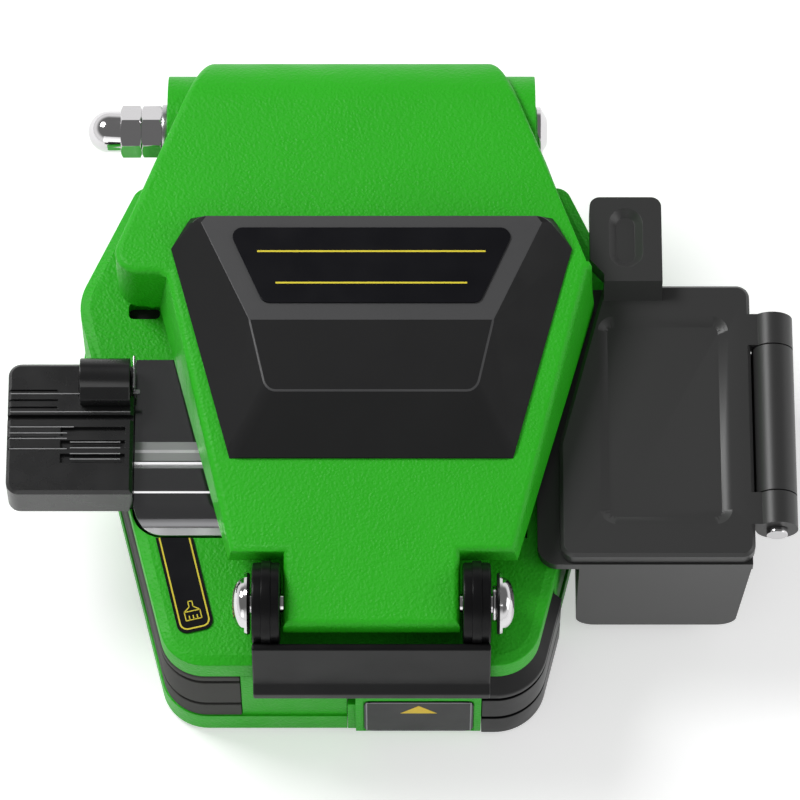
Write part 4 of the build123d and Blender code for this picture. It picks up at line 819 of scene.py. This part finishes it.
class Latch:
    """The latch: its bail, washers and screws."""

    centre: tuple[float, float] = (-39.0, 33.4)
    arms: tuple[tuple[float, float], ...] = ((-14.6, -10.4), (16.8, 21.0))
    arm_radius: float = 6.15
    rib_radius: float = 6.42
    rib_half: float = 0.72
    shaft_radius: float = 1.56
    section: tuple[tuple[float, float], ...] = (
        (-46.6, 33.8), (-48.0, 23.6), (-49.2, 22.2), (-49.2, 20.4), (-46.5, 20.4), (-46.5, 22.4), (-47.3, 22.7),
        (-47.2, 25.4), (-45.6, 31.2), (-45.5, 33.8))
    web: tuple[tuple[float, float], ...] = ((-46.3, 33.2), (-46.9, 28.4), (-42.0, 27.7), (-40.5, 31.5))
    stacks: tuple[tuple[float, int], ...] = ((-14.9, -1), (21.9, 1))
    dome: tuple[tuple[float, float], ...] = (
        (0.0, 0.0), (0.0, 3.9), (0.45, 3.85), (0.85, 3.65), (1.25, 3.25), (1.6, 2.6), (1.8, 1.9), (1.85, 1.4),
        (1.1, 1.4), (1.1, 0.0))
    seal: float = 0.4
    washer: float = 0.4

    def build(self) -> list[str]:
        """Make the bail, the washers and the screws.

        Returns:
            Names of the nodes that were replaced.
        """
        self.bail()
        self.washers()
        self.screws()
        return ["latch_bail", "latch_washers", "latch_screws"]

    def ring(self, form: bmesh.types.BMesh, x0: float, x1: float, radius: float, soft: float) -> None:
        """Add a disc with a bore and soft rims.

        Args:
            form: Mesh to add to.
            x0: Left face in millimetres.
            x1: Right face in millimetres.
            radius: Its radius.
            soft: How far its rims are cut back.
        """
        spin(form, ((x0, self.shaft_radius), (x0, radius - soft), (x0 + soft * 0.3, radius - soft * 0.3),
                    (x0 + soft, radius), (x1 - soft, radius), (x1 - soft * 0.3, radius - soft * 0.3),
                    (x1, radius - soft), (x1, self.shaft_radius)), *self.centre)

    def bail(self) -> bpy.types.Object:
        """The bar with its two ribbed arms.

        Returns:
            The bail's object.
        """
        form = bmesh.new()
        bar(form, self.section, self.arms[0][0], self.arms[1][1])
        tidy(form)
        soften(form, 0.28 * MM, lambda edge: True)
        for x0, x1 in self.arms:
            self.ring(form, x0, x1, self.arm_radius, 0.4)
            rib = (x0 + x1) / 2
            self.ring(form, rib - self.rib_half, rib + self.rib_half, self.rib_radius, 0.15)
            bar(form, self.web, x0 + 0.2, x1 - 0.2)
        tidy(form)
        made = add_piece("latch_bail_soft", form, BLACK_SOFT, "latch")
        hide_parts("latch_bail")
        return made

    def washers(self) -> bpy.types.Object:
        """Two dished washers, each with a dark seal behind it.

        Returns:
            The washers' object.
        """
        form = bmesh.new()
        dark = []
        for start, way in self.stacks:
            near, far = start + way * self.seal, start + way * (self.seal + self.washer)
            dark += spin(form, ((start, self.shaft_radius), (start, 4.5), (near, 4.7), (near, self.shaft_radius)),
                         *self.centre)
            spin(form, ((near, self.shaft_radius), (near, 4.8), (far, 4.65), (far, self.shaft_radius)), *self.centre)
        for face in dark:
            face.material_index = 1
        bmesh.ops.recalc_face_normals(form, faces=form.faces)
        made = add_piece("latch_washers_soft", form, CHROME, "lid")
        made.data.materials.append(DARK.material())
        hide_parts("latch_washers")
        return made

    def screws(self) -> bpy.types.Object:
        """Two domed screw heads.

        Returns:
            The screws' object.
        """
        form = bmesh.new()
        for start, way in self.stacks:
            base = start + way * (self.seal + self.washer)
            spin(form, [(base + way * x, radius) for x, radius in self.dome], *self.centre)
        tidy(form)
        made = add_piece("latch_screws_soft", form, CHROME, "lid", 40.0)
        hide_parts("latch_screws")
        return made


class Platform:
    """The dark platform with its painted bright reflection lines, and the fibre holder beside it."""

    bands: tuple[tuple[float, float], ...] = ((-12.1, -10.8), (-13.9, -12.6))
    line: tuple[float, float] = (-12.6, -12.1)
    band_left: float = -32.7
    band_right: float = -14.2
    top: float = 29.0
    lift: float = 0.02
    holder_top: float = 32.0
    line_half: float = 0.07
    window_floor: tuple[Point, Point] = ((-34.15, 10.95, 23.4), (-29.45, 13.55, 24.2))
    clip_slabs: tuple[tuple[Point, Point], ...] = (
        ((-33.05, -4.2, 30.4), (-32.65, 1.1, 34.6)), ((-33.05, -4.6, 32.6), (-31.9, -3.9, 33.2)))
    holder_highlight_lines: tuple[tuple[float, float, float], ...] = (
        (-51.6, -33.4, -4.1), (-51.6, -33.4, -7.1), (-51.6, -41.9, -9.6), (-51.6, -42.9, -10.6), (-51.6, -42.9, -11.5),
        (-51.6, -42.9, -13.2), (-42.4, -34.8, -12.1), (-42.4, -34.8, -13.05), (-42.4, -34.8, -14.0),
        (-42.4, -34.8, -14.9))

    def build(self) -> list[str]:
        """Dress the platform and the holder.

        Returns:
            Names of the nodes that were replaced.
        """
        for node in ("platform_left", "platform_right"):
            self.half(node)
        self.strips()
        self.holder()
        self.clip()
        return ["platform_left", "platform_right", "fibre_holder", "clamp_pin"]

    def half(self, node: str) -> bpy.types.Object:
        """One half, with a painted reflection in pale metal on its grooves, step, lip and side.

        Args:
            node: Name of the half.

        Returns:
            Its object.
        """
        made = DressedNode(node, [Rounding(0.12 * MM, lambda edge: middle(edge).z > 26.0 * MM, 2)]).build()
        made.data.materials.append(REFLECTION_METAL.material())
        for face in made.data.polygons:
            y, z = face.center.y / MM, face.center.z / MM
            groove = -15.25 < y < -13.95 and z > 28.3
            step = -19.2 < y < -18.85 and z > 28.3
            lip = y < -24.6 and 25.9 < z < 26.95
            side = face.center.x / MM < -32.6 and z > 26.9 and abs(face.normal.x) > 0.3 and face.normal.z > 0.2
            # Painted reflection: these faces take the pale metal in slot 1.
            if groove or step or lip or side:
                face.material_index = 1
        return made

    def strips(self) -> None:
        """Two bands of painted sheen and a line of painted reflection ahead of the clamp pads."""
        # Painted sheen and painted reflection: pale slabs laid on the dark platform.
        for index, ((front, back), finish) in enumerate(((self.bands[0], SHEEN_BAND), (self.bands[1], SHEEN_BAND),
                                                         (self.line, REFLECTION_METAL))):
            form = bmesh.new()
            slab(form, (self.band_left, front, self.top - 0.05), (self.band_right, back, self.top + self.lift))
            tidy(form)
            add_piece(f"platform_strip_{index + 1}", form, finish, "base")

    def holder(self) -> None:
        """The holder's body, with fine lines of painted highlight along its top."""
        DressedNode("fibre_holder", [Rounding(0.15 * MM, lambda edge: True, 2)],
                    trim_above=(self.holder_top + 0.02) * MM).build()
        form = bmesh.new()
        # Painted highlight: thin pale strips along the holder's top.
        for x0, x1, y in self.holder_highlight_lines:
            slab(form, (x0, y - self.line_half, self.holder_top - 0.05),
                 (x1, y + self.line_half, self.holder_top + 0.04))
        tidy(form)
        add_piece("holder_highlight_lines", form, SHEEN_BAND, "base")
        form = bmesh.new()
        slab(form, *self.window_floor)
        tidy(form)
        add_piece("window_floor", form, MAT, "base")

    def clip(self) -> None:
        """The thin spring clip at the right end of the holder's clamp."""
        form = bmesh.new()
        for low, high in self.clip_slabs:
            slab(form, low, high)
        tidy(form)
        soften(form, 0.12 * MM, lambda edge: True, 2)
        made = add_piece("clamp_clip", form, STEEL, "base")
        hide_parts("clamp_pin")


class Bin:
    """The scrap bin with its lid and hinge."""

    def build(self) -> list[str]:
        """Round the bin's edges.

        Returns:
            Names of the nodes that were replaced.
        """
        DressedNode("bin_body", [Rounding(0.35 * MM, lambda edge: True, 3)]).build()
        DressedNode("bin_lid", [Rounding(0.3 * MM, lambda edge: True, 3)]).build()
        return ["bin_body", "bin_lid"]


class Spring:
    """The anvil's spring."""

    joint: str = "anvil_slide"
    travel: float = 1.2 * MM

    def build(self) -> list[str]:
        """Copy the spring and give the copy a mesh of its own.

        Returns:
            Names of the nodes that were replaced.
        """
        made = DressedNode("anvil_spring", []).build()
        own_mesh(made)
        return ["anvil_spring"]


class Labels:
    """Marks on the labels, the side label itself and the push cap's foot."""

    line: float = 0.28 * MM
    lift: float = 0.02 * MM
    film: float = 0.3
    deck: float = 26.5
    rim_line: float = 0.22
    rim_margin: float = 0.25
    shoulder_box: tuple[Point, Point] = ((-0.54, -46.55, 1.05), (0.85, -44.5, 11.2))
    arrow_half: float = 2.8 * MM
    arrow_foot: float = 9.6 * MM
    arrow_tip: float = 12.7 * MM
    side_centre: tuple[float, float] = (-24.75, -33.4)
    side_turn: float = 13.5
    side_back: float = -25.6

    def build(self) -> list[str]:
        """Add every mark.

        Returns:
            Names of the nodes that were replaced.
        """
        self.rules()
        self.side()
        self.rim()
        self.shoulder()
        self.arrow()
        return ["side_label"]

    def strip(self, name: str, corners: Sequence[Vector], finish: Finish, body: str) -> None:
        """A flat printed patch.

        Args:
            name: Name of the piece.
            corners: Its outline.
            finish: Its ink.
            body: Name of the CAD body.
        """
        form = bmesh.new()
        form.faces.new([form.verts.new(corner) for corner in corners])
        thick = bmesh.ops.extrude_face_region(form, geom=list(form.faces))
        raised = [part for part in thick["geom"] if isinstance(part, bmesh.types.BMVert)]
        edge = (corners[1] - corners[0]).cross(corners[2] - corners[1]).normalized()
        bmesh.ops.translate(form, verts=raised, vec=edge * self.lift)
        bmesh.ops.recalc_face_normals(form, faces=form.faces)
        add_piece(name, form, finish, body)

    def rules(self) -> None:
        """Two plain rules across the lid's label."""
        low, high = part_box("lid_label")
        rise = 0.8 / 16.9
        for index, (share, half) in enumerate(((0.68, 17.2 * MM), (0.26, 14.4 * MM))):
            y = low.y + (high.y - low.y) * share
            middle_x = (low.x + high.x) / 2
            surface = lambda spot: high.z - (high.y - spot) * rise - 0.012 * MM
            corners = [Vector((middle_x + sx * half, y + sy * self.line / 2, surface(y + sy * self.line / 2)))
                       for sx, sy in ((-1, -1), (1, -1), (1, 1), (-1, 1))]
            self.strip(f"label_rule_{index + 1}", corners, INK, "lid")

    def turned_spot(self, x: float, y: float, z: float) -> Vector:
        """A place on the side label.

        Args:
            x: Distance across the label in millimetres.
            y: Distance along it in millimetres.
            z: Height in millimetres.

        Returns:
            The place in metres.
        """
        turn = math.radians(self.side_turn)
        return Vector((self.side_centre[0] + x * math.cos(turn) - y * math.sin(turn),
                       self.side_centre[1] + x * math.sin(turn) + y * math.cos(turn), z)) * MM

    def side_outline(self, half: float, front: float, corner: float) -> list[tuple[float, float]]:
        """The side label's open outline, from its back right round the front to its back left.

        Args:
            half: Half its width in millimetres.
            front: Distance from the middle to its front end.
            corner: Radius of the front corners.

        Returns:
            Points across and along the label.
        """
        points = []
        for side in (1, -1):
            steps = range(7) if side == 1 else range(6, -1, -1)
            for step in steps:
                angle = math.radians(15.0 * step)
                points.append((side * (half - corner + corner * math.cos(angle)),
                               -front + corner - corner * math.sin(angle)))
        back = self.side_back - self.side_centre[1]
        turn = math.radians(self.side_turn)
        ends = [(side * half, (back - side * half * math.sin(turn)) / math.cos(turn)) for side in (1, -1)]
        return [ends[0], *points, ends[1]]

    def side(self) -> None:
        """The strip beside the holder, with a yellow line round it and a small brush drawn on it."""
        outline = self.side_outline(2.75, 7.5, 1.5)
        top = self.deck + self.film
        form = bmesh.new()
        prism(form, *([self.turned_spot(x, y, z) for x, y in outline] for z in (self.deck, top)))
        tidy(form)
        made = add_piece("side_label_film", form, LABEL, "base")
        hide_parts("side_label")
        self.trace("side_label_line", self.side_outline(2.2, 6.95, 1.1), 0.24, top)
        strokes = (((-1.2, -5.6), (1.2, -5.6)), ((-1.2, -5.6), (-1.2, -4.2)), ((1.2, -5.6), (1.2, -4.2)),
                   ((-1.2, -4.2), (1.2, -4.2)), ((-1.2, -4.2), (-0.3, -3.5)), ((1.2, -4.2), (0.3, -3.5)),
                   ((-0.3, -3.5), (-0.3, -2.6)), ((0.3, -3.5), (0.3, -2.6)), ((-0.3, -2.6), (0.3, -2.6)),
                   ((-0.6, -5.6), (-0.6, -4.9)), ((0.0, -5.6), (0.0, -4.9)), ((0.6, -5.6), (0.6, -4.9)))
        for index, stroke in enumerate(strokes):
            self.trace(f"brush_stroke_{index + 1}", stroke, 0.16, top)

    def trace(self, name: str, path: Sequence[tuple[float, float]], width: float, level: float) -> None:
        """A printed line along a path on the side label.

        Args:
            name: Name of the line.
            path: Points across and along the label.
            width: Its width in millimetres.
            level: Height of the film's top.
        """
        form = bmesh.new()
        sides = []
        for index, (x, y) in enumerate(path):
            before = Vector(path[max(index - 1, 0)])
            after = Vector(path[min(index + 1, len(path) - 1)])
            run = (after - before).normalized()
            across = Vector((-run.y, run.x)) * width / 2
            sides.append([(x + across.x, y + across.y), (x - across.x, y - across.y)])
        levels = (level - 0.02, level + 0.02)
        rows = [[form.verts.new(self.turned_spot(*sides[k][s], z)) for z in levels for s in (0, 1)]
                for k in range(len(path))]
        for first, second in zip(rows, rows[1:]):
            for a, b in ((0, 1), (1, 3), (3, 2), (2, 0)):
                form.faces.new((first[a], first[b], second[b], second[a]))
        form.faces.new([rows[0][k] for k in (0, 1, 3, 2)])
        form.faces.new([rows[-1][k] for k in (0, 2, 3, 1)])
        tidy(form)
        add_piece(name, form, INK, "base")

    def rim(self) -> None:
        """A thin grey line round the push label."""
        low, high = (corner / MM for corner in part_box("push_label"))
        form = bmesh.new()
        line, edge = self.rim_line, self.rim_margin
        front, back = low.y - 0.02, low.y + 0.05
        slab(form, (low.x + edge, front, high.z - edge - line), (high.x - edge, back, high.z - edge))
        slab(form, (low.x + edge, front, low.z + edge), (high.x - edge, back, low.z + edge + line))
        for x in (low.x + edge, high.x - edge - line):
            slab(form, (x, front, low.z + edge + line), (x + line, back, high.z - edge - line))
        tidy(form)
        add_piece("push_label_rim", form, RIM_INK, "carriage")

    def shoulder(self) -> None:
        """The foot of the push cap, which carries the base's rim up to the cap."""
        form = bmesh.new()
        slab(form, *self.shoulder_box)
        tidy(form)
        soften(form, 0.12 * MM, lambda edge: True, 2)
        add_piece("cap_shoulder", form, GREEN, "carriage")

    def arrow(self) -> None:
        """A plain arrowhead on the push label."""
        low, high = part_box("push_label")
        middle_x = (low.x + high.x) / 2
        face_y = low.y
        corners = [Vector((middle_x - self.arrow_half, face_y, self.arrow_foot)),
                   Vector((middle_x + self.arrow_half, face_y, self.arrow_foot)),
                   Vector((middle_x, face_y, self.arrow_tip))]
        self.strip("push_arrow", corners, ARROW, "carriage")


class Studio:
    """Camera, lights and backdrop."""

    target: Point = (7.46 * MM, 0.2 * MM, 20.0 * MM)
    distance: float = 0.9
    elevation: float = 66.0
    lens: float = 263.25
    sensor: float = 36.0
    floor_glow: float = 0.45
    world_light: float = 0.34
    ceiling: float = 0.18
    lamps: tuple[tuple[str, Point, float, float], ...] = (
        ("key", (-0.44, 0.26, 0.68), 0.30, 4.0), ("fill", (0.75, -0.15, 0.38), 0.5, 1.5),
        ("front", (-0.2, -0.75, 0.30), 0.5, 0.6))

    def build(self) -> None:
        """Set up the whole studio."""
        self.camera()
        self.lights()
        self.backdrop()
        settings = bpy.context.scene.view_settings
        settings.view_transform = "Standard"

    def camera(self) -> None:
        """A long lens at the photograph's angle."""
        lens = bpy.data.cameras.new("camera")
        lens.lens = self.lens
        lens.sensor_width = self.sensor
        lens.clip_start = 0.01
        lens.clip_end = 20.0
        eye = bpy.data.objects.new("camera", lens)
        bpy.context.scene.collection.objects.link(eye)
        tilt = math.radians(self.elevation)
        back = Vector((0.0, -math.cos(tilt), math.sin(tilt)))
        eye.location = Vector(self.target) + back * self.distance
        eye.rotation_mode = "QUATERNION"
        eye.rotation_quaternion = (-back).to_track_quat("-Z", "Y")
        bpy.context.scene.camera = eye

    def lamp(self, name: str, place: Point, size: float, power: float, aim: Point = (0.005, 0.0, 0.02)) -> None:
        """A soft square lamp.

        Args:
            name: Name of the lamp.
            place: Where it stands.
            size: Side of the square.
            power: Power in watts.
            aim: Point that it faces.
        """
        light = bpy.data.lights.new(name, "AREA")
        light.shape = "SQUARE"
        light.size = size
        light.energy = power
        lamp = bpy.data.objects.new(name, light)
        bpy.context.scene.collection.objects.link(lamp)
        lamp.location = place
        lamp.rotation_mode = "QUATERNION"
        lamp.rotation_quaternion = (Vector(aim) - Vector(place)).to_track_quat("-Z", "Y")

    def lights(self) -> None:
        """Key from the upper left at the back, a fill from the right and a soft light in front."""
        for name, place, size, power in self.lamps:
            self.lamp(name, place, size, power)

    def backdrop(self) -> None:
        """A pale floor and an even pale world."""
        floor = bmesh.new()
        reach = 3.0
        floor.faces.new([floor.verts.new(spot) for spot in
                         ((-reach, -reach, -0.0002), (reach, -reach, -0.0002), (reach, reach, -0.0002),
                          (-reach, reach, -0.0002))])
        mesh = bpy.data.meshes.new("floor")
        floor.to_mesh(mesh)
        floor.free()
        made = bpy.data.objects.new("floor", mesh)
        bpy.context.scene.collection.objects.link(made)
        sheet = NodeSheet("floor_white")
        shade = sheet.spread(sheet.noise(sheet.place(), 0.4, 2.0), 0.0, 1.0)
        sheet.join(sheet.blend(shade, (0.86, 0.86, 0.86), (0.88, 0.88, 0.88)), sheet.shader.inputs["Base Color"])
        sheet.shader.inputs["Roughness"].default_value = 0.9
        sheet.shader.inputs["Specular IOR Level"].default_value = 0.1
        sheet.shader.inputs["Emission Color"].default_value = (1.0, 1.0, 1.0, 1.0)
        glow = sheet.node("ShaderNodeMapRange")
        glow.inputs["To Min"].default_value = 0.0
        glow.inputs["To Max"].default_value = self.floor_glow
        sheet.join(seen_rays(sheet.tree), glow.inputs["Value"])
        sheet.join(glow.outputs["Result"], sheet.shader.inputs["Emission Strength"])
        mesh.materials.append(sheet.material)
        self.surround()

    def surround(self) -> None:
        """A world that is white round the horizon and dim overhead."""
        world = bpy.data.worlds.new("studio")
        bpy.context.scene.world = world
        world.use_nodes = True
        tree = world.node_tree
        back = tree.nodes["Background"]
        facing = tree.nodes.new("ShaderNodeTexCoord")
        split = tree.nodes.new("ShaderNodeSeparateXYZ")
        tree.links.new(facing.outputs["Generated"], split.inputs["Vector"])
        dim = tree.nodes.new("ShaderNodeMapRange")
        dim.interpolation_type = "SMOOTHSTEP"
        dim.inputs["From Min"].default_value = 0.25
        dim.inputs["From Max"].default_value = 0.6
        dim.inputs["To Min"].default_value = 1.0
        dim.inputs["To Max"].default_value = self.ceiling
        tree.links.new(split.outputs["Z"], dim.inputs["Value"])
        strength = tree.nodes.new("ShaderNodeMix")
        strength.data_type = "FLOAT"
        strength.inputs["A"].default_value = self.world_light
        tree.links.new(seen_rays(tree), strength.inputs["Factor"])
        tree.links.new(dim.outputs["Result"], strength.inputs["B"])
        tree.links.new(strength.outputs["Result"], back.inputs["Strength"])
        back.inputs["Color"].default_value = (1.0, 1.0, 1.0, 1.0)


def seen_rays(tree: bpy.types.NodeTree) -> bpy.types.NodeSocket:
    """Whether a ray is the camera's own, or comes by way of metal or glass.

    Args:
        tree: Node tree to add to.

    Returns:
        A socket that is 1 for such rays and 0 for the rest.
    """
    path = tree.nodes.new("ShaderNodeLightPath")
    first = tree.nodes.new("ShaderNodeMath")
    first.operation = "MAXIMUM"
    tree.links.new(path.outputs["Is Camera Ray"], first.inputs[0])
    tree.links.new(path.outputs["Is Glossy Ray"], first.inputs[1])
    both = tree.nodes.new("ShaderNodeMath")
    both.operation = "MAXIMUM"
    tree.links.new(first.outputs[0], both.inputs[0])
    tree.links.new(path.outputs["Is Transmission Ray"], both.inputs[1])
    return both.outputs[0]


def main() -> None:
    """Dress the frame and set up the studio."""
    logging.basicConfig(level=logging.INFO)
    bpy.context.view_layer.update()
    taken = Base().build()
    taken += ToolLid().build()
    taken += Latch().build()
    taken += Platform().build()
    taken += Bin().build()
    taken += Spring().build()
    taken += Labels().build()
    dress_plain_nodes(taken)
    Studio().build()


if __name__ == "__main__":
    main()
